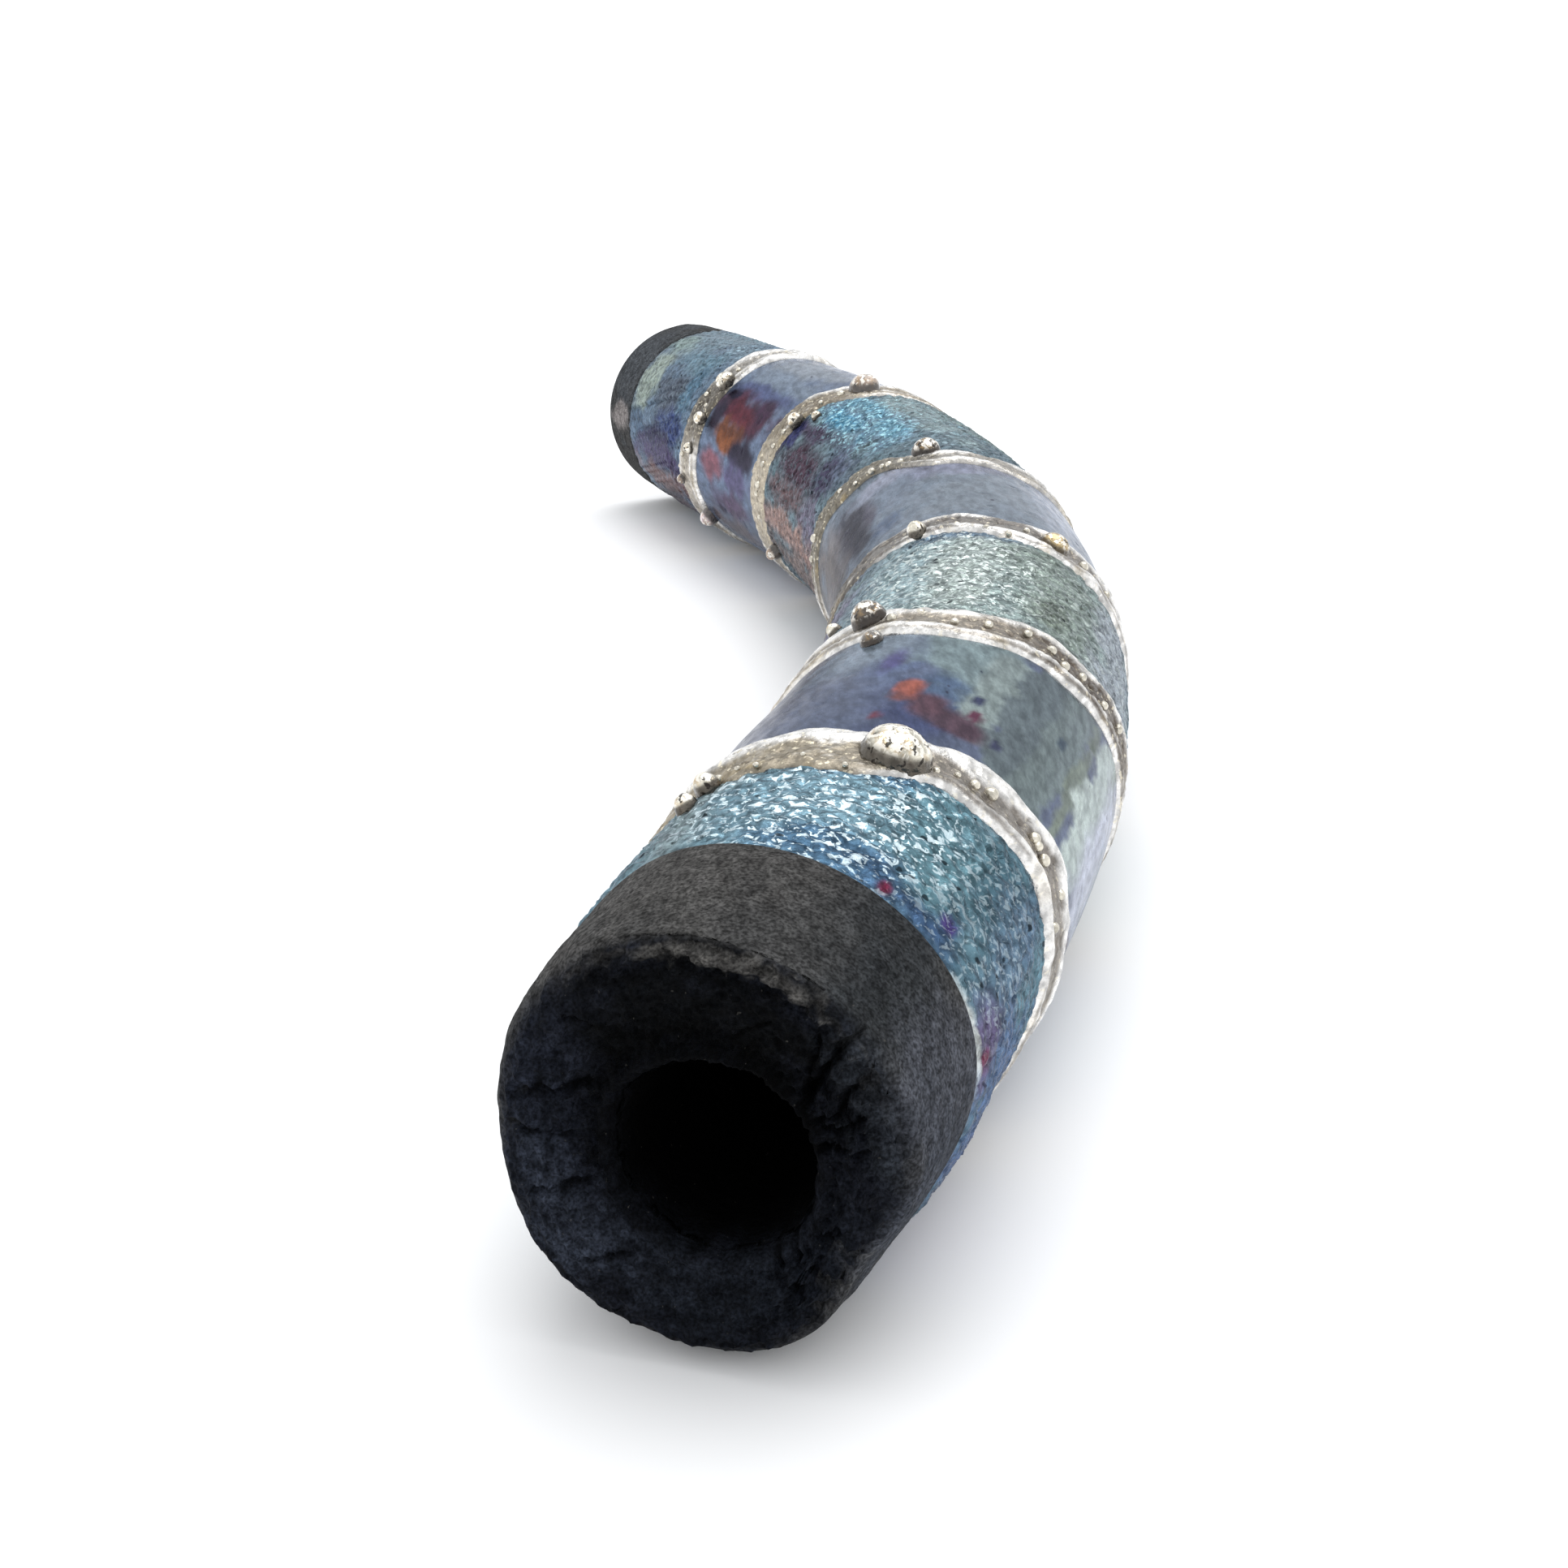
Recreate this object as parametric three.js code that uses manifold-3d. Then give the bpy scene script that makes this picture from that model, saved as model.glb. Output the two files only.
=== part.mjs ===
// Curved tube bead: a hand-rolled clay tube bent to one side, bored right through, with a glaze
// coat in seven bands that stops short of both bare ends. Six raised silver ridges part the bands,
// and round drops of the same melt sit on and beside the ridges.
import * as THREE from 'three';
import { mergeVertices } from 'three/addons/utils/BufferGeometryUtils.js';
import Module from 'manifold-3d';

// Centreline: straight, arc, straight, in plan. Millimetres and degrees.
const FRONT_STRAIGHT = 21.7;
const BEND_RADIUS = 102;
const BEND_DEGREES = 39.9;
const FAR_STRAIGHT = 25.8;

// Tube section.
const TUBE_RADIUS = 7;
const TAPER = 0.045;
const BORE_RADIUS = 3.3;
const FRONT_NARROWING = 0.149;
const FAR_NARROWING = 0.02;
const NARROWING_LENGTH = 8.4;
const RIM_ROUND_LENGTH = 0.7;
const RIM_ROUND_DEPTH = 0.6;
const MOUTH_ROUND_LENGTH = 1.2;
const MOUTH_ROUND_DEPTH = 0.45;

// Glaze coat, by distance along the centreline from the front face.
const FRONT_GLAZE_EDGE = 5.2;
const FAR_GLAZE_EDGE = 112.7;
const COAT_THICKNESS = 0.32;
const COAT_EDGE_THICKNESS = 0.12;
const COAT_EDGE_TAPER = 1.1;
const BAND_LIP_LENGTH = 0.35;
const BAND_LIP_DROP = 0.1;

// Ridges. Each was laid by hand, so it wanders along the tube as it goes round: path holds
// [angle round the tube, distance from the station] pairs. Angle 0 is the inner side of the
// bend and 90 the top.
const RIDGES = [
  { station: 13.8, width: 3.0, path: [[60, -1.4], [98, -1.0], [123, 0.8], [160, 1.7], [270, 0]] },
  { station: 28.7, width: 3.1, path: [[60, -0.5], [95, -0.9], [130, 0.2], [172, 1.9], [280, 0.2]] },
  { station: 44.3, width: 3.0, path: [[20, 0.9], [75, 0.3], [108, -0.6], [150, -0.3], [250, 0.3]] },
  { station: 62.2, width: 2.4, path: [[15, 3.2], [49, 1.3], [82, -2.7], [115, -3.4], [230, 0.6]] },
  { station: 83.4, width: 3.0, path: [[10, 0.4], [60, -0.5], [85, -2.3], [130, -2.6], [240, 0.2]] },
  { station: 98.7, width: 3.3, path: [[10, 0], [54, -0.8], [90, -0.6], [180, 0.2], [340, 0.8]] },
];
const RIDGE_HEIGHT = 0.36;
const RIDGE_GROOVE_DEPTH = 0.16;

// Clearance kept between neighbouring solids.
const CLEARANCE = 0.04;

// Facets.
const SEGMENTS_AROUND = 28;
const BAND_STEP = 6.5;
const BORE_STEP = 7;
const DROP_SEGMENTS = 10;
const DROP_RINGS = 7;

// Drops: ridge they belong to, distance from its station along the tube (towards the far end is
// positive), angle round the tube, then length along the tube, width round it and height of the
// full ellipsoid, which is sunk by half into the coat.
const DROPS = [
  { ridge: 1, along: -0.4, angle: 107, length: 2.3, width: 2.3, height: 1.8, tone: 'silver' },
  { ridge: 1, along: -2.8, angle: 61, length: 0.9, width: 0.9, height: 1.3, tone: 'silver' },
  { ridge: 1, along: -3.9, angle: 58, length: 0.8, width: 0.8, height: 1.1, tone: 'silver' },
  { ridge: 2, along: 0.2, angle: 67, length: 1.6, width: 1.5, height: 2.1, tone: 'umber' },
  { ridge: 2, along: -2.9, angle: 73, length: 1.3, width: 0.9, height: 0.9, tone: 'umber' },
  { ridge: 2, along: 4.0, angle: 45, length: 0.7, width: 0.7, height: 1.0, tone: 'silver' },
  { ridge: 3, along: -0.5, angle: 69, length: 1.0, width: 1.0, height: 1.5, tone: 'silver' },
  { ridge: 3, along: -1.0, angle: 121, length: 1.4, width: 1.5, height: 1.6, tone: 'gold' },
  { ridge: 4, along: -1.3, angle: 80, length: 1.6, width: 1.6, height: 1.9, tone: 'umber' },
  { ridge: 5, along: -2.0, angle: 88, length: 2.0, width: 2.0, height: 2.2, tone: 'amber' },
  { ridge: 5, along: -3.5, angle: 56, length: 0.7, width: 0.7, height: 0.9, tone: 'silver' },
  { ridge: 5, along: -1.7, angle: 48, length: 1.1, width: 1.1, height: 1.6, tone: 'silver' },
  { ridge: 5, along: -2.0, angle: -25, length: 1.1, width: 1.0, height: 1.7, tone: 'amber' },
  { ridge: 6, along: -1.6, angle: 51, length: 1.5, width: 1.5, height: 1.9, tone: 'silver' },
  { ridge: 6, along: -1.4, angle: 26, length: 1.0, width: 1.0, height: 1.5, tone: 'silver' },
  { ridge: 6, along: -0.8, angle: 8, length: 0.9, width: 0.9, height: 1.5, tone: 'silver' },
  { ridge: 6, along: 1.7, angle: -14, length: 0.8, width: 0.8, height: 1.2, tone: 'amber' },
  { ridge: 6, along: -0.6, angle: -36, length: 1.3, width: 1.3, height: 1.8, tone: 'rose' },
];

const BAND_COLOURS = [0x4f7f93, 0x4b5580, 0x6f8f93, 0x8286ab, 0x5f7488, 0x6a6f9a, 0x4f8796];
const DROP_COLOURS = {
  silver: 0xc9c3b4, gold: 0xb08d4f, umber: 0x4a3b33, amber: 0x8a6a4c, rose: 0xc9a5a8,
};

const BEND_ANGLE = THREE.MathUtils.degToRad(BEND_DEGREES);
const ARC_LENGTH = BEND_RADIUS * BEND_ANGLE;
const TUBE_LENGTH = FRONT_STRAIGHT + ARC_LENGTH + FAR_STRAIGHT;

// Outside radius of the glazed tube without its drawn-in ends.
function taperedRadius(station) {
  return TUBE_RADIUS * (1 - (TAPER * station) / TUBE_LENGTH);
}

// Outside radius of the glazed tube; both ends draw in a little.
function outsideRadius(station) {
  const front = Math.max(0, 1 - station / NARROWING_LENGTH);
  const far = Math.max(0, 1 - (TUBE_LENGTH - station) / NARROWING_LENGTH);
  const drawnIn = 1 - FRONT_NARROWING * front * front - FAR_NARROWING * far * far;
  return taperedRadius(station) * drawnIn;
}

// Frame at a station: X runs along the tube, Y points to the inner side of the bend, Z is up.
// The axis sinks with the taper, so the underside stays level.
function stationFrame(station) {
  const fromMiddle = station - FRONT_STRAIGHT - ARC_LENGTH / 2;
  const onArc = THREE.MathUtils.clamp(fromMiddle, -ARC_LENGTH / 2, ARC_LENGTH / 2);
  const beyond = fromMiddle - onArc;
  const heading = onArc / BEND_RADIUS;
  const x = BEND_RADIUS * Math.sin(heading) + beyond * Math.cos(heading);
  const y = BEND_RADIUS * (1 - Math.cos(heading)) + beyond * Math.sin(heading);
  const z = taperedRadius(station) - TUBE_RADIUS;
  return new THREE.Matrix4().makeRotationZ(heading).setPosition(x, y, z);
}

// Thickness of the coat, which thins to an edge where it meets the bare ends.
function coatThickness(station) {
  const fromEdge = Math.min(station - FRONT_GLAZE_EDGE, FAR_GLAZE_EDGE - station);
  const share = THREE.MathUtils.clamp(fromEdge / COAT_EDGE_TAPER, 0, 1);
  return THREE.MathUtils.lerp(COAT_EDGE_THICKNESS, COAT_THICKNESS, share);
}

function clayRadius(station) {
  return outsideRadius(station) - coatThickness(station) - CLEARANCE;
}

// Where the middle of a ridge lies at an angle in degrees, eased between the points of its path.
function ridgeMiddle({ station, path }, angle) {
  const last = path.length - 1;
  const before = path.findLastIndex(([turn]) => turn <= angle);
  const from = before < 0 ? [path[last][0] - 360, path[last][1]] : path[before];
  const to = before === last ? [path[0][0] + 360, path[0][1]] : path[before + 1];
  const share = THREE.MathUtils.smoothstep(angle, from[0], to[0]);
  return station + THREE.MathUtils.lerp(from[1], to[1], share);
}

// Turns a closed profile round the bent centreline. Each point of the profile holds its station
// as a function of the angle, and its radius as a function of the station. The profile's outer
// side runs towards the far end.
function turnProfile(profile) {
  const positions = [];
  const indices = [];
  const point = new THREE.Vector3();
  for (const { stationAt, radiusAt } of profile) {
    for (let k = 0; k < SEGMENTS_AROUND; k += 1) {
      const degrees = (360 * k) / SEGMENTS_AROUND;
      const angle = THREE.MathUtils.degToRad(degrees);
      const station = stationAt(degrees);
      const radius = radiusAt(station);
      point.set(0, radius * Math.cos(angle), radius * Math.sin(angle));
      point.applyMatrix4(stationFrame(station));
      positions.push(point.x, point.y, point.z);
    }
  }
  for (let i = 0; i < profile.length; i += 1) {
    const j = (i + 1) % profile.length;
    const forward = profile[j].stationAt(0) >= profile[i].stationAt(0);
    for (let k = 0; k < SEGMENTS_AROUND; k += 1) {
      const turn = (k + 1) % SEGMENTS_AROUND;
      indices.push(...facePair(i * SEGMENTS_AROUND, j * SEGMENTS_AROUND, k, turn, forward));
    }
  }
  const geometry = new THREE.BufferGeometry();
  geometry.setAttribute('position', new THREE.Float32BufferAttribute(positions, 3));
  geometry.setIndex(indices);
  return geometry;
}

// The two triangles between neighbouring points of the profile. Their shared edge leans the same
// way on an outer and an inner surface, so that a band's underside lies true on the clay.
function facePair(here, next, k, turn, forward) {
  if (forward) {
    return [here + k, here + turn, next + turn, here + k, next + turn, next + k];
  }
  return [here + k, here + turn, next + k, here + turn, next + turn, next + k];
}

function fixed(station, radius) {
  return { stationAt: () => station, radiusAt: () => radius };
}

function onSurface(stationAt, radiusAt) {
  return { stationAt, radiusAt };
}

// Even shares from 0 to 1, no further apart than step on the given length.
function evenShares(length, step) {
  const count = Math.ceil(length / step);
  return Array.from({ length: count + 1 }, (_, i) => i / count);
}

function evenStations(start, end, step) {
  return evenShares(end - start, step).map((share) => THREE.MathUtils.lerp(start, end, share));
}

// Where each glaze band starts and ends, as functions of the angle.
function bandSpans() {
  const startsAfter = RIDGES.map((ridge) => (angle) => (
    ridgeMiddle(ridge, angle) + ridge.width / 2 + CLEARANCE
  ));
  const endsBefore = RIDGES.map((ridge) => (angle) => (
    ridgeMiddle(ridge, angle) - ridge.width / 2 - CLEARANCE
  ));
  const starts = [() => FRONT_GLAZE_EDGE, ...startsAfter];
  const ends = [...endsBefore, () => FAR_GLAZE_EDGE];
  return starts.map((start, i) => {
    const nominal = [FRONT_GLAZE_EDGE, ...RIDGES.map(({ station }) => station), FAR_GLAZE_EDGE];
    const shares = evenShares(nominal[i + 1] - nominal[i], BAND_STEP);
    const stations = shares.map((share) => (angle) => (
      THREE.MathUtils.lerp(start(angle), ends[i](angle), share)
    ));
    if (i === 0) {
      stations.splice(1, 0, () => FRONT_GLAZE_EDGE + COAT_EDGE_TAPER);
    }
    if (i === RIDGES.length) {
      stations.splice(-1, 0, () => FAR_GLAZE_EDGE - COAT_EDGE_TAPER);
    }
    return { start, end: ends[i], stations, first: i === 0, last: i === RIDGES.length };
  });
}

// Quarter round from the flat end face to the side, as [distance from the face, drop] pairs.
function quarterRound(length, depth) {
  return [0, 0.12, 0.4, 1].map((share) => {
    const drop = 1 - Math.sqrt(1 - (1 - share) ** 2);
    return [share * length, drop * depth];
  });
}

function clayTubeProfile() {
  const rim = quarterRound(RIM_ROUND_LENGTH, RIM_ROUND_DEPTH);
  const mouth = quarterRound(MOUTH_ROUND_LENGTH, MOUTH_ROUND_DEPTH);
  const profile = rim.map(([inset, drop]) => fixed(inset, outsideRadius(inset) - drop));
  profile.push(fixed(FRONT_GLAZE_EDGE / 2, outsideRadius(FRONT_GLAZE_EDGE / 2)));
  profile.push(fixed(FRONT_GLAZE_EDGE - CLEARANCE, outsideRadius(FRONT_GLAZE_EDGE)));
  profile.push(fixed(FRONT_GLAZE_EDGE - CLEARANCE, clayRadius(FRONT_GLAZE_EDGE)));
  for (const { stations } of bandSpans()) {
    profile.push(...stations.map((stationAt) => onSurface(stationAt, clayRadius)));
  }
  profile.push(fixed(FAR_GLAZE_EDGE + CLEARANCE, clayRadius(FAR_GLAZE_EDGE)));
  profile.push(fixed(FAR_GLAZE_EDGE + CLEARANCE, outsideRadius(FAR_GLAZE_EDGE)));
  for (const [inset, drop] of rim.toReversed()) {
    profile.push(fixed(TUBE_LENGTH - inset, outsideRadius(TUBE_LENGTH - inset) - drop));
  }
  for (const [inset, drop] of mouth) {
    profile.push(fixed(TUBE_LENGTH - inset, BORE_RADIUS + drop));
  }
  const bore = evenStations(MOUTH_ROUND_LENGTH, TUBE_LENGTH - MOUTH_ROUND_LENGTH, BORE_STEP);
  profile.push(...bore.slice(1, -1).toReversed().map((station) => fixed(station, BORE_RADIUS)));
  for (const [inset, drop] of mouth.toReversed()) {
    profile.push(fixed(inset, BORE_RADIUS + drop));
  }
  return profile;
}

// A band: a thin shell over the clay, with a small lip at each end that meets a ridge.
function bandProfile({ start, end, stations, first, last }) {
  const lipRadius = (station) => outsideRadius(station) - BAND_LIP_DROP;
  const profile = [onSurface(start, first ? outsideRadius : lipRadius)];
  if (!first) {
    profile.push(onSurface((angle) => start(angle) + BAND_LIP_LENGTH, outsideRadius));
  }
  profile.push(...stations.slice(1, -1).map((stationAt) => onSurface(stationAt, outsideRadius)));
  if (!last) {
    profile.push(onSurface((angle) => end(angle) - BAND_LIP_LENGTH, outsideRadius));
  }
  profile.push(onSurface(end, last ? outsideRadius : lipRadius));
  const underside = (station) => clayRadius(station) + CLEARANCE;
  profile.push(...stations.toReversed().map((stationAt) => onSurface(stationAt, underside)));
  return profile;
}

// A ridge's crown: two rounded lips with a shallow groove between them, as
// [share of the half width, height above the tube's outside radius] pairs.
function crownPoints() {
  return [
    [-1, -BAND_LIP_DROP],
    [-0.86, 0.72 * RIDGE_HEIGHT],
    [-0.66, RIDGE_HEIGHT],
    [-0.28, RIDGE_HEIGHT - RIDGE_GROOVE_DEPTH],
    [0.28, RIDGE_HEIGHT - RIDGE_GROOVE_DEPTH],
    [0.66, RIDGE_HEIGHT],
    [0.86, 0.72 * RIDGE_HEIGHT],
    [1, -BAND_LIP_DROP],
  ];
}

// Point of a ridge's section at a share of its half width and a height over the tube.
function ridgePoint(ridge, share, rise) {
  return onSurface(
    (angle) => ridgeMiddle(ridge, angle) + (share * ridge.width) / 2,
    (station) => outsideRadius(station) + rise,
  );
}

function ridgeProfile(ridge) {
  const crown = crownPoints().map(([share, rise]) => ridgePoint(ridge, share, rise));
  const base = [1, -1].map((share) => ({
    stationAt: ridgePoint(ridge, share, 0).stationAt,
    radiusAt: (station) => clayRadius(station) + CLEARANCE,
  }));
  return [...crown, ...base];
}

// The coat and ridges in one, grown by the clearance, that every drop is cut to sit on.
function dropSeatProfile() {
  const grown = (station) => outsideRadius(station) + CLEARANCE;
  const profile = [];
  bandSpans().forEach(({ stations }, i) => {
    profile.push(...stations.map((stationAt) => onSurface(stationAt, grown)));
    if (i < RIDGES.length) {
      for (const [share, rise] of crownPoints().slice(1, -1)) {
        profile.push(ridgePoint(RIDGES[i], share, rise + CLEARANCE));
      }
    }
  });
  const inside = evenStations(FRONT_GLAZE_EDGE, FAR_GLAZE_EDGE, BORE_STEP).toReversed();
  profile.push(...inside.map((station) => fixed(station, BORE_RADIUS)));
  return profile;
}

const wasm = await Module();
wasm.setup();

function toManifold(geometry) {
  const bare = geometry.clone();
  bare.deleteAttribute('normal');
  bare.deleteAttribute('uv');
  const merged = mergeVertices(bare);
  return new wasm.Manifold(new wasm.Mesh({
    numProp: 3,
    vertProperties: Float32Array.from(merged.attributes.position.array),
    triVerts: Uint32Array.from(merged.index.array),
  }));
}

function toGeometry(manifold) {
  const mesh = manifold.getMesh();
  const geometry = new THREE.BufferGeometry();
  geometry.setAttribute('position', new THREE.BufferAttribute(mesh.vertProperties, 3));
  geometry.setIndex(new THREE.BufferAttribute(mesh.triVerts, 1));
  return geometry;
}

// A drop: an ellipsoid centred on the coat's surface, less everything that lies under it.
function dropGeometry(drop, seat) {
  const { ridge, along, angle, length, width, height } = drop;
  const geometry = new THREE.SphereGeometry(1, DROP_SEGMENTS, DROP_RINGS);
  geometry.rotateX(Math.PI / 2);
  geometry.scale(length / 2, width / 2, height / 2);
  const station = RIDGES[ridge - 1].station + along;
  geometry.translate(0, 0, outsideRadius(station));
  geometry.rotateX(THREE.MathUtils.degToRad(angle - 90));
  geometry.applyMatrix4(stationFrame(station));
  return toGeometry(toManifold(geometry).subtract(seat).simplify(CLEARANCE / 8));
}

// Puts a piece in its group by its own station frame.
function place(parent, name, geometry, colour, roughness, metalness, station) {
  const frame = stationFrame(station);
  geometry.applyMatrix4(frame.clone().invert());
  geometry.computeVertexNormals();
  const material = new THREE.MeshStandardMaterial({ color: colour, roughness, metalness });
  material.name = name;
  const mesh = new THREE.Mesh(geometry, material);
  mesh.name = name;
  mesh.applyMatrix4(frame);
  parent.add(mesh);
}

function addClayTube(parent) {
  place(parent, 'clay_tube', turnProfile(clayTubeProfile()), 0x2e2c2b, 0.95, 0, TUBE_LENGTH / 2);
}

function addGlazeBands(parent) {
  bandSpans().forEach((span, i) => {
    const middle = (span.start(0) + span.end(0)) / 2;
    const geometry = turnProfile(bandProfile(span));
    place(parent, `glaze_band_${i + 1}`, geometry, BAND_COLOURS[i], 0.25, 0.35, middle);
  });
}

function addRidges(parent) {
  RIDGES.forEach((ridge, i) => {
    const geometry = turnProfile(ridgeProfile(ridge));
    place(parent, `silver_ridge_${i + 1}`, geometry, 0xbdb6a6, 0.3, 0.7, ridge.station);
  });
}

function addDrops(parent) {
  const seat = toManifold(turnProfile(dropSeatProfile()));
  const counts = RIDGES.map(() => 0);
  for (const drop of DROPS) {
    counts[drop.ridge - 1] += 1;
    const name = `drop_${drop.ridge}_${counts[drop.ridge - 1]}`;
    const station = RIDGES[drop.ridge - 1].station + drop.along;
    place(parent, name, dropGeometry(drop, seat), DROP_COLOURS[drop.tone], 0.2, 0.5, station);
  }
}

// Rests the bead on the ground plane with its footprint centred on the origin.
function centreOnGround(bead) {
  const box = new THREE.Box3().setFromObject(bead, true);
  const middle = box.getCenter(new THREE.Vector3());
  bead.position.set(-middle.x, -middle.y, -box.min.z);
}

function buildBead() {
  const bead = new THREE.Group();
  bead.name = 'curved_tube_bead';
  const coat = new THREE.Group();
  const ridges = new THREE.Group();
  const drops = new THREE.Group();
  coat.name = 'glaze_coat';
  ridges.name = 'silver_ridges';
  drops.name = 'melt_drops';
  addClayTube(bead);
  addGlazeBands(coat);
  addRidges(ridges);
  addDrops(drops);
  bead.add(coat, ridges, drops);
  centreOnGround(bead);
  return bead;
}

const group = new THREE.Group();
group.name = 'row_frame';
group.add(buildBead());

export default group;
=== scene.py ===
"""Looks of the curved raku tube bead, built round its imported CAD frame.

Sizes are in millimetres, except the floor's and the camera's reach, and to_metres turns the bead's
points into metres. A place on the bead is a station (distance along the bent axis from the near
face) and an angle round the tube, in degrees: 0 is the inner side of the bend, 90 the top, 180 the
outer side and 270 the underside.
"""
import math

import bpy
import numpy as np
from mathutils import Matrix, Vector


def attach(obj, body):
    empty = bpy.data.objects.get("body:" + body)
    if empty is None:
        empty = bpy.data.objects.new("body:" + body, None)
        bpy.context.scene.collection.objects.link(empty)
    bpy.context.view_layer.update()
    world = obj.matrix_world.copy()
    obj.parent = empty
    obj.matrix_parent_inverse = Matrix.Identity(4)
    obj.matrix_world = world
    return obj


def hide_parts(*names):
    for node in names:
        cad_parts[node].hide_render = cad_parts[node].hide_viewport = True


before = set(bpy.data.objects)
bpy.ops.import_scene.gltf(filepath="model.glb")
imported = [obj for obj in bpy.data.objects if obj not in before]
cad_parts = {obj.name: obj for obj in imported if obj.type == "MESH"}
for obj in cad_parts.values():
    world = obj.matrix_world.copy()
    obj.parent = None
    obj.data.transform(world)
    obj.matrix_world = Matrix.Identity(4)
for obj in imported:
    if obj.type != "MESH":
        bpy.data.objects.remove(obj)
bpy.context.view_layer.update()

MM = 0.001

# The bent axis, the tube and its ridges, as in the CAD model.
FRONT_STRAIGHT = 21.7
BEND_RADIUS = 102.0
BEND = math.radians(39.9)
FAR_STRAIGHT = 25.8
ARC_LENGTH = BEND_RADIUS * BEND
TUBE_LENGTH = FRONT_STRAIGHT + ARC_LENGTH + FAR_STRAIGHT
TUBE_RADIUS = 7.0
TAPER = 0.045
FRONT_NARROWING = 0.149
FAR_NARROWING = 0.02
NARROWING_LENGTH = 8.4
BORE_RADIUS = 3.3
COAT = 0.32
FRONT_GLAZE_EDGE = 5.2
FAR_GLAZE_EDGE = 112.7
RIDGE_HEIGHT = 0.36

# Where the middle of the bend lies in the frame: the group's shift in the CAD model.
BEND_MIDDLE = np.array([-2.025, -6.868, 7.360])

RIDGES = [
    dict(station=13.8, width=3.0, path=[(60, -1.4), (98, -1.0), (123, 0.8), (160, 1.7), (270, 0)]),
    dict(station=28.7, width=3.1, path=[(60, -0.5), (95, -0.9), (130, 0.2), (172, 1.9), (280, 0.2)]),
    dict(station=44.3, width=3.0, path=[(20, 0.9), (75, 0.3), (108, -0.6), (150, -0.3), (250, 0.3)]),
    dict(station=62.2, width=2.4, path=[(15, 3.2), (49, 1.3), (82, -2.7), (115, -3.4), (230, 0.6)]),
    dict(station=83.4, width=3.0, path=[(10, 0.4), (60, -0.5), (85, -2.3), (130, -2.6), (240, 0.2)]),
    dict(station=98.7, width=3.3, path=[(10, 0), (54, -0.8), (90, -0.6), (180, 0.2), (340, 0.8)]),
]

# Drops, in the CAD model's order: ridge, distance from its station, angle, length along the tube,
# width round it, height of the full ellipsoid, tone.
DROPS = [
    (1, -0.4, 107, 2.3, 2.3, 1.8, "silver"),
    (1, -2.8, 61, 0.9, 0.9, 1.3, "silver"),
    (1, -3.9, 58, 0.8, 0.8, 1.1, "silver"),
    (2, 0.2, 67, 1.6, 1.5, 2.1, "umber"),
    (2, -2.9, 73, 1.3, 0.9, 0.9, "umber"),
    (2, 4.0, 45, 0.7, 0.7, 1.0, "silver"),
    (3, -0.5, 69, 1.0, 1.0, 1.5, "silver"),
    (3, -1.0, 121, 1.4, 1.5, 1.6, "gold"),
    (4, -1.3, 80, 1.6, 1.6, 1.9, "umber"),
    (5, -2.0, 88, 2.0, 2.0, 2.2, "amber"),
    (5, -3.5, 56, 0.7, 0.7, 0.9, "silver"),
    (5, -1.7, 48, 1.1, 1.1, 1.6, "silver"),
    (5, -2.0, -25, 1.1, 1.0, 1.7, "amber"),
    (6, -1.6, 51, 1.5, 1.5, 1.9, "silver"),
    (6, -1.4, 26, 1.0, 1.0, 1.5, "silver"),
    (6, -0.8, 8, 0.9, 0.9, 1.5, "silver"),
    (6, 1.7, -14, 0.8, 0.8, 1.2, "amber"),
    (6, -0.6, -36, 1.3, 1.3, 1.8, "rose"),
]


# ---- the bent tube

def smooth(low, high, value):
    share = np.clip((value - low) / (high - low), 0.0, 1.0)
    return share * share * (3 - 2 * share)


def tapered_radius(station):
    return TUBE_RADIUS * (1 - TAPER * station / TUBE_LENGTH)


def outside_radius(station):
    front = np.maximum(0, 1 - station / NARROWING_LENGTH)
    far = np.maximum(0, 1 - (TUBE_LENGTH - station) / NARROWING_LENGTH)
    return tapered_radius(station) * (1 - FRONT_NARROWING * front**2 - FAR_NARROWING * far**2)


def turn_from(angle, middle):
    """Degrees from a middle angle the short way round, between -180 and 180."""
    return np.mod(angle - middle + 180.0, 360.0) - 180.0


def bump_at(angle, middle, half):
    """1 at the middle angle, falling off smoothly to 0.37 at half degrees to each side."""
    return np.exp(-((turn_from(angle, middle) / half) ** 2))


def hand_radius(angle, station):
    """The outside as pressed by hand: a sagging, flattened near end and a slight waist behind it."""
    near = 1 - smooth(0.0, 9.0, station)
    sag = (0.85 * bump_at(angle, 262, 34) + 0.80 * bump_at(angle, 312, 30)) * near
    waist = smooth(1.0, 5.0, station) * (1 - smooth(9.0, 20.0, station))
    pinch = 0.38 * (bump_at(angle, 38, 26) + bump_at(angle, 198, 26)) * waist
    flat = 0.65 * bump_at(angle, 217, 20) * near
    return outside_radius(station) + sag - pinch - flat


def on_tube(station, angle, radius):
    """Points in millimetres, in the frame, at stations, angles and distances from the axis."""
    from_middle = station - FRONT_STRAIGHT - ARC_LENGTH / 2
    on_arc = np.clip(from_middle, -ARC_LENGTH / 2, ARC_LENGTH / 2)
    beyond = from_middle - on_arc
    heading = on_arc / BEND_RADIUS
    turn = np.radians(angle)
    inward = radius * np.cos(turn)
    x = BEND_RADIUS * np.sin(heading) + beyond * np.cos(heading) - inward * np.sin(heading)
    y = BEND_RADIUS * (1 - np.cos(heading)) + beyond * np.sin(heading) + inward * np.cos(heading)
    z = tapered_radius(station) - TUBE_RADIUS + radius * np.sin(turn)
    return np.stack([x, y, z], -1) + BEND_MIDDLE


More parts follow.
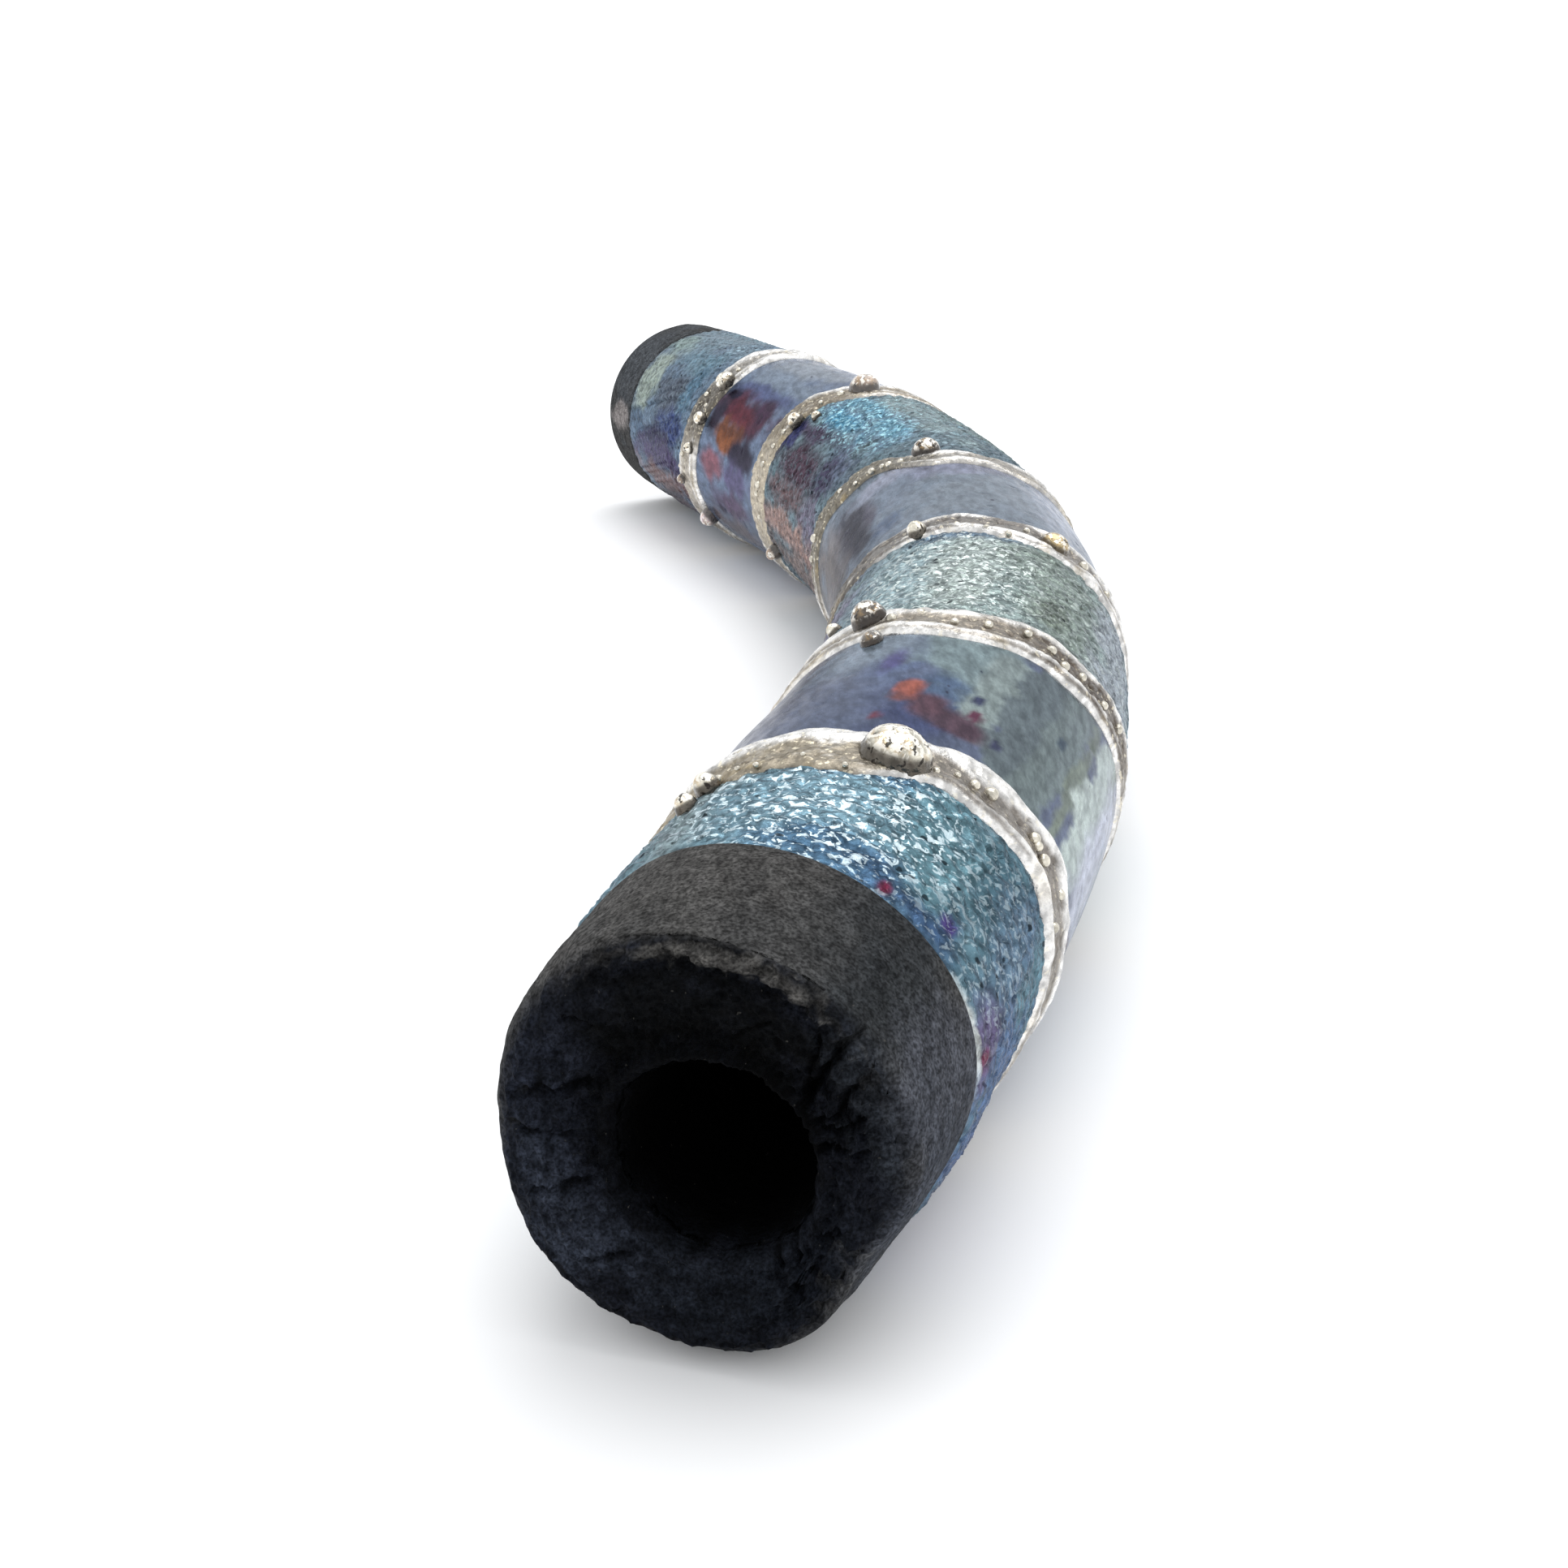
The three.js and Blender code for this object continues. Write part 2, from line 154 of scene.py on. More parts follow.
def ridge_middle(ridge, angle):
    """Station of the middle of a ridge at each angle."""
    angle = np.mod(angle, 360.0)
    path = ridge["path"]
    points = [(path[-1][0] - 360, path[-1][1]), *path, (path[0][0] + 360, path[0][1])]
    out = np.zeros_like(angle)
    for (a0, d0), (a1, d1) in zip(points, points[1:]):
        inside = (angle >= a0) & (angle <= a1)
        out = np.where(inside, d0 + (d1 - d0) * smooth(a0, a1, angle), out)
    return ridge["station"] + out


# ---- seeded noise on the tube

def grid_size(size):
    """How many cells of about size mm fit round the tube, and how many cover it lengthwise."""
    return max(3, round(2 * math.pi * TUBE_RADIUS / size)), int(TUBE_LENGTH / size) + 8


def lattice_noise(angle, station, size, seed):
    """Smooth noise from -1 to 1 that closes round the tube, with cells of about size mm."""
    around, along = grid_size(size)
    values = np.random.default_rng(seed).uniform(-1, 1, (around, along))
    u = np.mod(angle, 360.0) / 360.0 * around
    v = np.clip(station / size + 2, 0, along - 2.001)
    iu, iv = np.floor(u).astype(int), np.floor(v).astype(int)
    fu, fv = smooth(0, 1, u - iu), smooth(0, 1, v - iv)
    here, beside = iu % around, (iu + 1) % around
    low = values[here, iv] * (1 - fu) + values[beside, iv] * fu
    high = values[here, iv + 1] * (1 - fu) + values[beside, iv + 1] * fu
    return low * (1 - fv) + high * fv


def layered_noise(angle, station, size, seed, layers=3):
    """Lattice noise with finer layers on it, each half as large and half as strong."""
    total = sum(
        lattice_noise(angle, station, size / 2**k, seed + 17 * k) / 2**k for k in range(layers)
    )
    return total / sum(1 / 2**k for k in range(layers))


def cells(angle, station, size, seed):
    """Distance to the nearest grain's middle, in cells, the rise of that grain's leaning facet at
    this place, and the grain's own tone from -1 to 1."""
    around, along = grid_size(size)
    rng = np.random.default_rng(seed)
    jitter = rng.uniform(0.1, 0.9, (around, along, 2))
    own = rng.uniform(-1, 1, (around, along, 2))
    u = np.mod(angle, 360.0) / 360.0 * around
    v = np.clip(station / size + 3, 1, along - 3)
    iu, iv = np.floor(u).astype(int), np.floor(v).astype(int)
    best = np.full(np.shape(u), 9.0)
    lean = np.zeros(np.shape(u))
    tone = np.zeros(np.shape(u))
    for cu, cv in ((iu + du, iv + dv) for du in (-1, 0, 1) for dv in (-1, 0, 1)):
        cell = (cu % around, cv)
        ju = cu + jitter[cell][..., 0] - u
        jv = cv + jitter[cell][..., 1] - v
        distance = np.hypot(ju, jv)
        nearer = distance < best
        best = np.where(nearer, distance, best)
        facet = own[cell][..., 0] * ju + own[cell][..., 1] * jv
        lean = np.where(nearer, facet, lean)
        tone = np.where(nearer, own[cell][..., 0], tone)
    return best, lean, tone


# ---- colours

def linear(code):
    """A colour written as a hex code, as linear red, green and blue."""
    parts = np.array([int(code[i:i + 2], 16) for i in (0, 2, 4)]) / 255.0
    return np.where(parts <= 0.04045, parts / 12.92, ((parts + 0.055) / 1.055) ** 2.4)


def lay_over(colour, code, share):
    """The colour, mixed by its share at each place with a colour written as a hex code."""
    return colour + share[..., None] * (linear(code) - colour)


def reach_to(angle, station, patch):
    """Distance from the middle of a patch, as a share of the way to its edge."""
    middle, along, half_angle, half_length = patch[:4]
    return np.hypot(turn_from(angle, middle) / half_angle, (station - along) / half_length)


USUAL_SOFTNESS = 0.5


def paint(angle, station, ground, patches, seed):
    """Colour at each place: the ground, then each patch laid over it with a ragged soft edge.

    A patch is (angle, station, half width in degrees, half length in mm, colour), and then its
    softness where that isn't the usual one.
    """
    colour = np.broadcast_to(linear(ground), (*np.shape(angle), 3))
    ragged = 0.80 * layered_noise(angle, station, 1.8, seed, 5)
    for number, patch in enumerate(patches):
        fine = 0.12 * lattice_noise(angle, station, 0.9, seed + 91 + number)
        reach = reach_to(angle, station, patch) + ragged + fine
        softness = patch[5] if len(patch) > 5 else USUAL_SOFTNESS
        colour = lay_over(colour, patch[4], 1 - smooth(1 - softness, 1 + softness, reach))
    return colour


# ---- meshes

def to_metres(points):
    """Millimetres to metres; nothing reaches below the surface that the bead lies on."""
    points = points.reshape(-1, 3) * MM
    points[:, 2] = np.maximum(points[:, 2], 0.0)
    return points


def ring_faces(rows, columns):
    """Quads of a closed profile of rows turned round a closed ring of columns."""
    i = np.arange(rows)[:, None]
    k = np.arange(columns)[None, :]
    j, n = (i + 1) % rows, (k + 1) % columns
    quads = np.stack([i * columns + k, i * columns + n, j * columns + n, j * columns + k], -1)
    return quads.reshape(-1, 4).tolist()


def make_piece(node, material, points, faces, tint, grain=None):
    """A mesh object that stands for a node, from points in mm, with colours on its points."""
    name = f"{node}_fine"
    mesh = bpy.data.meshes.new(name)
    mesh.from_pydata(to_metres(points).tolist(), [], faces)
    mesh.update()
    for label, values in (("tint", tint), ("grain", grain)):
        if values is not None:
            layer = mesh.color_attributes.new(label, "FLOAT_COLOR", "POINT")
            layer.data.foreach_set("color", values.astype(np.float32).ravel())
    mesh.polygons.foreach_set("use_smooth", np.ones(len(mesh.polygons), bool))
    mesh.materials.append(material)
    piece = bpy.data.objects.new(name, mesh)
    bpy.context.scene.collection.objects.link(piece)
    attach(piece, "root")
    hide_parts(node)


def with_alpha(colour, alpha=1.0):
    alpha = np.broadcast_to(alpha, colour.shape[:-1])
    return np.concatenate([colour, alpha[..., None]], -1)


def red_channel(values):
    """A colour whose red holds the values, for a material to read."""
    empty = np.zeros_like(values)
    return np.stack([values, empty, empty, empty + 1], -1)


def turned_angles(step):
    """Angles round the tube, about step mm apart on its outside."""
    count = int(2 * math.pi * TUBE_RADIUS / step)
    return np.arange(count) * 360.0 / count


# ---- glaze bands

BANDS = [
    dict(rough=True, ground="5f7c88", step=0.11, patches=[
        (66, 8.5, 16, 6, "7f8f92"), (90, 9, 22, 5, "6e8b98"), (88, 12.2, 30, 1.0, "527088", 0.4),
        (112, 6.0, 22, 1.2, "435f76"), (134, 6.4, 14, 1.6, "384e6c"), (132, 9.5, 14, 3, "5b7c86"),
        (154, 10.0, 12, 4, "46626e"), (166, 9.0, 12, 4, "566c7e"), (172, 6.2, 12, 1.4, "5b5470"),
        (124, 5.65, 2.0, 0.30, "6e2840"), (142, 6.6, 2.4, 0.35, "43386c"),
        (178, 5.9, 5, 0.6, "6c2438"), (168, 5.35, 15, 0.22, "b6bab8", 0.3), (200, 9, 20, 5, "5b7090"),
        (235, 9, 18, 4, "655f78", 0.6), (300, 8.5, 40, 4, "5a707c", 0.6),
    ]),
    dict(rough=False, ground="5c6478", step=0.2, patches=[
        (56, 21, 15, 8, "666874"), (72, 24.5, 12, 4, "6c7886"), (80, 18, 16, 5, "5a6276"),
        (88, 23, 9, 3, "5f6c88"), (104, 18.0, 12, 3.4, "434a68"), (106, 21.2, 10, 2.2, "4f6078"),
        (76, 25.0, 14, 2.8, "7f8c98"), (108, 25, 16, 3.4, "7c8c8e", 0.3),
        (120, 22.8, 7, 4.0, "869290", 0.22), (133, 22, 8.5, 8, "616b6e", 0.12),
        (145, 21, 8, 8, "6b7675", 0.2), (155, 20.5, 3.4, 7, "70796c", 0.25),
        # The two pale patches at angles 168 and 186 are painted sheen: the reflection of the bright
        # floor and light on the glossy outer side.
        (168, 22.5, 9, 8, "b2bdb6", 0.14), (186, 22, 12, 8, "ccd0dc", 0.4),
        (112, 18.1, 9, 0.9, "523f48", 0.4), (104, 19.0, 5, 0.9, "5a4048", 0.4),
        (97, 19.9, 3.6, 1.0, "a05a48", 0.35), (96, 18.9, 3.0, 0.6, "80504a", 0.4),
        (94, 16.6, 1.8, 0.5, "6c3a46", 0.4), (118, 19.6, 1.6, 0.4, "5a3040", 0.4),
        (86, 22.6, 3.0, 1.4, "504c7c", 0.6), (116, 21.0, 1.6, 0.4, "3a3f58", 0.4),
        (127, 18.5, 1.2, 0.35, "3c3f56", 0.4), (144, 23.2, 1.4, 0.4, "44525c", 0.4),
        (215, 22, 20, 6, "5f7484", 0.6), (197, 17.2, 8, 1.3, "4c1c24", 0.4),
        (262, 22, 24, 6, "64647a", 0.6), (318, 22, 30, 6, "5c6278", 0.6),
        (24, 22, 16, 6, "6c6c7c", 0.6),
    ]),
    dict(rough=True, ground="869593", step=0.13, patches=[
        (48, 37, 16, 8, "7f9098"), (70, 36, 16, 7, "98acb0"), (92, 36, 14, 7, "9ba6a2"),
        (126, 37, 20, 8, "838f88"), (92, 42.6, 20, 1.0, "6a7c8c"), (158, 36, 14, 8, "969ea4"),
        (124, 34, 5, 1.6, "707a70", 0.6), (28, 38, 14, 6, "848090", 0.6),
        (200, 38, 22, 7, "667c88", 0.6), (262, 38, 26, 7, "667080", 0.6),
        (330, 38, 24, 7, "6c7078", 0.6),
    ]),
    dict(rough=False, ground="76828e", step=0.2, patches=[
        (95, 51, 34, 5, "7c868e"), (70, 59.2, 30, 2.2, "9a9eae", 0.45), (96, 57.4, 26, 1.8, "8a8ea2"),
        (54, 50.2, 8, 2.2, "4a5c74"), (58, 55, 10, 3, "74808e"), (38, 52.6, 8, 2.6, "1c1c26", 0.4),
        (34, 55.5, 10, 4.2, "25222b", 0.4), (46, 54.5, 3, 2.2, "4a4654", 0.6),
        (22, 51, 8, 4, "565150"), (18, 56, 8, 5, "564f4e"), (8, 54, 9, 9, "7c736e"),
        (12, 48.5, 6, 2, "66605c", 0.6), (-8, 54, 8, 9, "6a6462"), (130, 55, 14, 6, "98a0ae", 0.6),
        (170, 54, 22, 8, "7c8898", 0.6), (215, 54, 22, 8, "626880", 0.6),
        (262, 54, 20, 8, "6a5f6a", 0.6), (310, 54, 24, 8, "686874", 0.6),
    ]),
    dict(rough=True, ground="6b7c84", step=0.14, patches=[
        (72, 74, 20, 8, "6c8698"), (62, 75.5, 8, 3.8, "5890ac", 0.45),
        (76, 70.0, 8, 2.8, "6894a8", 0.45), (78, 76, 7, 3, "6590a4"), (100, 74, 14, 10, "869698"),
        (44, 68.6, 10, 2.8, "60687c"), (30, 76, 12, 6, "503f4a", 0.45), (34, 70, 8, 2.6, "484458"),
        (52, 74, 5, 3, "56606e", 0.6), (48, 78, 5, 3, "4f4658"), (40, 81, 8, 1.4, "3a3c62"),
        (14, 77, 7, 5, "6c5a5c"), (10, 69, 10, 3, "747080"), (-4, 74, 8, 9, "a0867e"),
        (-22, 74, 12, 9, "867a76"), (128, 74, 16, 9, "74827e", 0.6), (170, 74, 24, 9, "667c88", 0.6),
        (220, 74, 24, 9, "566680", 0.6), (280, 74, 26, 9, "68646e", 0.6),
    ]),
    dict(rough=False, ground="6c7a90", step=0.2, patches=[
        (84, 91, 18, 6, "8c949c"), (66, 91, 8, 6, "7a8694", 0.45), (53, 91, 6, 6, "545c7c", 0.4),
        (38, 90.5, 12, 6, "4c2a36", 0.4), (44, 88.5, 8, 1.6, "40283a", 0.45),
        (36, 91.6, 9, 2.2, "5c2a30", 0.4), (25, 92.2, 9, 2.6, "704630", 0.35),
        (19, 92.4, 6, 1.5, "84502e", 0.35), (16, 88.4, 8, 2.4, "2a222e", 0.4),
        (1, 89, 8, 3, "56506e"), (4, 93.8, 9, 1.9, "80545c", 0.45), (-16, 91, 8, 5, "604e66"),
        (32, 95.3, 10, 0.9, "2e2632"), (48, 94.8, 3, 0.7, "1c1428", 0.3),
        (-22, 93.3, 4.0, 0.9, "221a30", 0.3), (-34, 91, 9, 6, "746a70"),
        (120, 91, 18, 6, "9098a8", 0.6), (160, 91, 22, 6, "707c94", 0.6),
        (205, 91, 22, 6, "5c6080", 0.6), (262, 91, 30, 6, "726a74", 0.6),
    ]),
    dict(rough=True, ground="66788a", step=0.15, patches=[
        (84, 107, 24, 7, "788a94"), (58, 104, 13, 3, "6a8492"), (34, 105.4, 14, 2.6, "525a66"),
        (40, 102, 16, 0.9, "5a768a"), (38, 110.8, 26, 1.9, "98a49a", 0.35),
        (66, 110.8, 10, 1.8, "8a9c98"), (12, 103, 9, 2.6, "3c4870", 0.45),
        (3, 106.6, 7, 2.6, "322f48", 0.45), (8, 110.6, 7, 1.6, "54687c"),
        (-10, 106, 9, 5.5, "4c4460"), (-27, 107, 10, 6, "806a68"), (-48, 107, 14, 6, "70666a", 0.6),
        (120, 107, 20, 6, "6c848e", 0.6), (165, 107, 24, 6, "607486", 0.6),
        (225, 107, 28, 6, "645f74", 0.6),
    ]),
]


RIDGE_OVERLAP = 0.3


def band_edges(number, angle):
    """Where a band starts and ends at each angle; it runs a little way under the ridges."""
    start = np.full_like(angle, FRONT_GLAZE_EDGE)
    end = np.full_like(angle, FAR_GLAZE_EDGE)
    if number > 0:
        ridge = RIDGES[number - 1]
        start = ridge_middle(ridge, angle) + ridge["width"] / 2 - RIDGE_OVERLAP
    else:
        start = start + 0.10 * layered_noise(angle, start, 1.6, 31)
    if number < len(RIDGES):
        ridge = RIDGES[number]
        end = ridge_middle(ridge, angle) - ridge["width"] / 2 + RIDGE_OVERLAP
    else:
        end = end + 0.10 * layered_noise(angle, end, 1.6, 32)
    return start, end


def rough_relief(angle, station, seed):
    """A sandy glaze: sharp little grains with a lean of their own on a soft swell."""
    skew = angle + 2.2 * station
    grain, lean, _ = cells(skew, station * 1.15, 0.55, seed)
    fine, fine_lean, _ = cells(skew, station * 1.3, 0.30, seed + 5)
    swell = layered_noise(angle, station, 1.5, seed + 9)
    bumps = 0.11 * (0.55 - grain) + 0.14 * lean + 0.03 * (0.5 - fine) + 0.05 * fine_lean
    return bumps + 0.03 * swell


def smooth_relief(angle, station, seed):
    """A runny glaze: long low waves and a few pinholes."""
    waves = 0.035 * layered_noise(angle, station, 4.5, seed)
    pins, _, tone = cells(angle, station, 1.4, seed + 3)
    pinholes = -0.05 * np.exp(-((pins / 0.07) ** 2)) * (tone > 0.3)
    return waves + 0.006 * layered_noise(angle, station, 0.5, seed + 6) + pinholes


UNDER_ROWS = 4


def add_band(number, material):
    spec = BANDS[number]
    seed = 100 + 20 * number
    angles = turned_angles(spec["step"])
    start, end = band_edges(number, angles)
    rows = int((end - start).max() / spec["step"]) + 2
    outer = start + (end - start) * np.linspace(0, 1, rows)[:, None]
    under = start + (end - start) * np.linspace(1, 0, UNDER_ROWS)[:, None]
    stations = np.concatenate([outer, under])
    every = np.broadcast_to(angles, stations.shape)
    relief = rough_relief if spec["rough"] else smooth_relief
    lip = smooth(0.0, 0.5, np.minimum(outer - start, end - outer))
    height = relief(every[:rows], outer, seed) * lip - 0.10 * (1 - lip)
    if number == 0:
        height += 0.05 * np.exp(-(((outer - start) / 0.25) ** 2))
    height = np.concatenate([height, np.full(under.shape, -COAT)])
    points = on_tube(stations, every, hand_radius(every, stations) + height)
    tint = paint(every, stations, spec["ground"], spec["patches"], seed + 2)
    tint *= (1 + 0.10 * layered_noise(every, stations, 1.2, seed + 4))[..., None]
    name = f"band_{number + 1}"
    make_piece(
        f"glaze_{name}", material, points, ring_faces(*stations.shape),
        with_alpha(np.maximum(tint, 0)), painted_band_glints(number, every, stations),
    )


# How strongly glint highlights are painted on each rough band, most near the top: (angle, station, half
# width, half length, strength).
PAINTED_GLINTS = {
    0: [(96, 9.6, 46, 4.8, 1.0), (150, 9, 30, 5, 0.3), (300, 9, 70, 6, 0.4)],
    2: [(85, 36, 38, 9, 0.85), (150, 37, 40, 9, 0.35), (280, 37, 70, 9, 0.3)],
    4: [(70, 74, 22, 9, 0.9), (110, 74, 30, 9, 0.25), (20, 74, 28, 9, 0.12), (230, 74, 80, 9, 0.2)],
    6: [(60, 106, 60, 7, 0.18), (200, 106, 90, 7, 0.15)],
}


def painted_band_glints(number, angle, station):
    """Strength of the glint highlights painted on a rough band at each place, for its glaze to read."""
    if number not in PAINTED_GLINTS:
        return None
    glint = np.zeros(np.shape(angle))
    for patch in PAINTED_GLINTS[number]:
        strength = patch[4] * (1 - smooth(0.6, 1.25, reach_to(angle, station, patch)))
        glint = np.maximum(glint, strength)
    return red_channel(glint)


# ---- ridges

UNDERSIDE = (250, 60, "8a8276", 0.6, 0.8, 0.8, 0.25, 0.30)

# Each ridge's crown round the tube: angle, half width, colour of the flat, how sandy it is, how
# strong the near and far lips are, in height and in painted highlight, and how wide, as shares of half
# the ridge.
CROWNS = [
    [(78, 28, "968d7d", 1.0, 0.1, 1.25, 0.26, 0.30), (150, 40, "7c7670", 0.4, 1.0, 1.0, 0.22, 0.36),
     UNDERSIDE],
    [(90, 32, "8f877c", 0.5, 0.85, 1.0, 0.32, 0.40), (140, 30, "4e443b", 0.8, 0.7, 0.9, 0.20, 0.32),
     UNDERSIDE],
    [(18, 22, "66615c", 0.8, 0.2, 0.2, 0.26, 0.26), (90, 30, "6f6a66", 0.5, 0.62, 0.5, 0.24, 0.26),
     (150, 40, "807a74", 0.6, 0.9, 0.9, 0.26, 0.34),
     UNDERSIDE],
    [(35, 30, "7a7468", 1.0, 0.15, 0.25, 0.26, 0.24), (96, 30, "8a857e", 0.3, 0.5, 0.7, 0.30, 0.42),
     (250, 70, "8a8276", 0.7, 0.6, 0.6, 0.25, 0.30)],
    [(8, 26, "bdb3a2", 0.9, 0.2, 0.3, 0.26, 0.26), (50, 24, "857c6e", 0.9, 0.2, 0.3, 0.26, 0.26),
     (88, 26, "8c8274", 0.8, 0.5, 0.9, 0.26, 0.32),
     (220, 80, "8a8276", 0.6, 0.6, 0.6, 0.25, 0.30)],
    [(32, 24, "585249", 0.9, 0.1, 0.1, 0.26, 0.30), (82, 30, "9a9690", 0.3, 1.0, 0.9, 0.34, 0.38),
     (-8, 22, "b4aca0", 0.5, 0.7, 0.6, 0.30, 0.34), (220, 70, "8a8276", 0.6, 0.6, 0.6, 0.25, 0.30)],
]

# Beads that stand on each ridge: angle, place across the ridge from -1 to 1, and a
# radius in mm where that isn't the usual one.
BEADS = [
    [(64, -0.75, 0.15), (69, -0.6, 0.11), (75, -0.8, 0.12), (86, -0.5, 0.10), (98, -0.85, 0.11),
     (118, -0.5, 0.13), (123, -0.2, 0.12), (128, -0.1, 0.20), (133, 0.05, 0.26), (150, 0.1, 0.22),
     (156, -0.1, 0.24), (168, 0.3, 0.22), (152, 0.0), (173, -0.5)],
    [(84, 0.5), (96, -0.1, 0.18), (106, 0.1), (118, 0.3), (127, 0.1, 0.22),
     (133, -0.2, 0.22), (140, 0.1), (152, -0.1), (163, 0.1, 0.22), (75, 0.2, 0.24)],
    [(84, -0.6, 0.18), (95, -0.7, 0.18), (103, -0.8, 0.16), (135, 0.0, 0.26), (150, 0.2),
     (110, 0.2, 0.16)],
    [(68, -0.3), (63, -0.5), (60, -0.6, 0.16), (55, -0.8, 0.22), (46, -0.8, 0.14),
     (38, 0.2, 0.16), (12, 0.0, 0.28), (2, 0.2)],
    [(75, -0.2, 0.26), (40, -0.6), (31, -0.6, 0.18), (20, -0.4, 0.22), (9, -0.4, 0.26),
     (4, -0.3), (-8, -0.5, 0.18), (64, -0.7, 0.16)],
    [(62, -0.2), (40, 0.3), (2, 0.5), (-6, 0.7, 0.18), (96, 0.3, 0.16),
     (34, -0.4, 0.16)],
]


def crown_blend(number, angle):
    """Colour of a ridge's flat at each angle, its sandiness, its lips' strengths and their widths."""
    total = np.zeros(np.shape(angle))
    colour = np.zeros((*np.shape(angle), 3))
    values = np.zeros((5, *np.shape(angle)))
    for a, half, code, *numbers in CROWNS[number]:
        weight = bump_at(angle, a, half) + 1e-6
        total += weight
        colour += weight[..., None] * linear(code)
        for value, figure in zip(values, numbers):
            value += weight * figure
    return colour / total[..., None], *(values / total)


def ridge_lips(number, angle, across, station, seed):
    """Height of a ridge's two wavering lips."""
    _, _, near, far, near_width, far_width = crown_blend(number, angle)
    sizes = (1.4, 1.4, 2.2, 2.2)
    wave = [lattice_noise(angle, 0 * angle, size, seed + k) for k, size in enumerate(sizes)]
    knobs = layered_noise(angle, station, 0.8, seed + 8, 2)
    near_lip = (0.20 + 0.08 * wave[0] + 0.07 * knobs) * near
    far_lip = (0.23 + 0.08 * wave[1] + 0.07 * knobs) * far
    near_width = near_width * (1 + 0.35 * wave[3])
    far_width = far_width * (1 + 0.35 * wave[2])
    lips = near_lip * np.exp(-(((across + 0.74 + 0.10 * wave[2]) / near_width) ** 2))
    far_across = across - 0.80 + 0.12 * near + 0.10 * wave[3]
    return lips + far_lip * np.exp(-((far_across / far_width) ** 2))


def ridge_relief(number, angle, across, station):
    """Height over the tube: two lips, and a pitted, sandy hollow between them."""
    seed = 400 + 30 * number
    sand = crown_blend(number, angle)[1]
    lips = ridge_lips(number, angle, across, station, seed)
    off_middle = np.abs(across)
    flat = 0.13 * (1 - smooth(0.55, 0.98, off_middle))
    grain, lean, _ = cells(angle, station * 1.2, 0.34, seed + 4)
    pits, _, tone = cells(angle, station, 0.62, seed + 5)
    calm = 1 - smooth(0.08, 0.18, lips)
    sandy = sand * (0.11 * (0.5 - grain) + 0.07 * lean) * (0.15 + 0.85 * calm)
    sandy = sandy * (1 - smooth(0.8, 1, off_middle))
    middle = 1 - smooth(0.35, 0.75, off_middle)
    holes = -0.14 * np.exp(-((pits / 0.26) ** 2)) * (tone > -0.1) * middle
    wander = 0.02 * layered_noise(angle, station, 0.9, seed + 6)
    edge = smooth(0.90, 1.0, off_middle)
    height = (lips + flat + sandy + holes + wander) * (1 - edge) - 0.16 * edge
    return np.minimum(height, RIDGE_HEIGHT)


def bead_points(station, angle, radius, lift, lumps, seed, rings, columns):
    """A melted bead with a radius along, round and up, and its middle lift mm over the tube."""
    polar = np.linspace(0, math.pi, rings)[:, None]
    turn = np.arange(columns)[None, :] * 2 * math.pi / columns
    rng = np.random.default_rng(seed)
    wobble = 1 + lumps * np.sin(3 * turn + rng.uniform(0, 6)) * np.sin(polar) ** 2
    along = radius[0] * np.sin(polar) * np.cos(turn) * wobble
    round_it = radius[1] * np.sin(polar) * np.sin(turn) * wobble
    up = radius[2] * (np.cos(polar) + 0 * turn)
    base = hand_radius(np.array(float(angle)), station) + lift
    at_angle = angle - np.degrees(round_it / base)
    return on_tube(station + along, at_angle, base + up)


def weld_poles(values):
    """A ball's rings as one list, with a single entry at each pole."""
    rings = values[1:-1].reshape(-1, values.shape[-1])
    return np.concatenate([values[0, :1], rings, values[-1, :1]])


def bead_faces(rings, columns, start):
    """Quads between a welded ball's rings, and a fan of triangles round each pole."""
    first = start + 1
    last = first + (rings - 3) * columns
    faces = []
    for k in range(columns):
        n = (k + 1) % columns
        faces.append((start, first + k, first + n))
        faces.append((last + k, last + columns, last + n))
        for a in range(first, last, columns):
            faces.append((a + k, a + columns + k, a + columns + n, a + n))
    return faces


USUAL_BEAD = 0.2
BEAD_RINGS = 9
BEAD_COLUMNS = 14
BEAD_LIFT = 0.16
BEAD_LUMPS = 0.06


def ridge_beads(number, first):
    """The beads on a ridge: their points, and their faces, which count points from the first."""
    ridge = RIDGES[number]
    points, faces = [], []
    for angle, place, *own in BEADS[number]:
        radius = own[0] if own else USUAL_BEAD
        middle = ridge_middle(ridge, np.array([float(angle)]))[0]
        station = float(middle) + place * ridge["width"] / 2
        size = (radius, radius, radius * 0.9)
        ball = bead_points(
            station, angle, size, BEAD_LIFT, BEAD_LUMPS, 60 + angle, BEAD_RINGS, BEAD_COLUMNS
        )
        points.append(weld_poles(ball))
        faces += bead_faces(BEAD_RINGS, BEAD_COLUMNS, first)
        first += len(points[-1])
    return np.concatenate(points), faces


RIDGE_STEP = 0.11
RIDGE_ROWS = 34


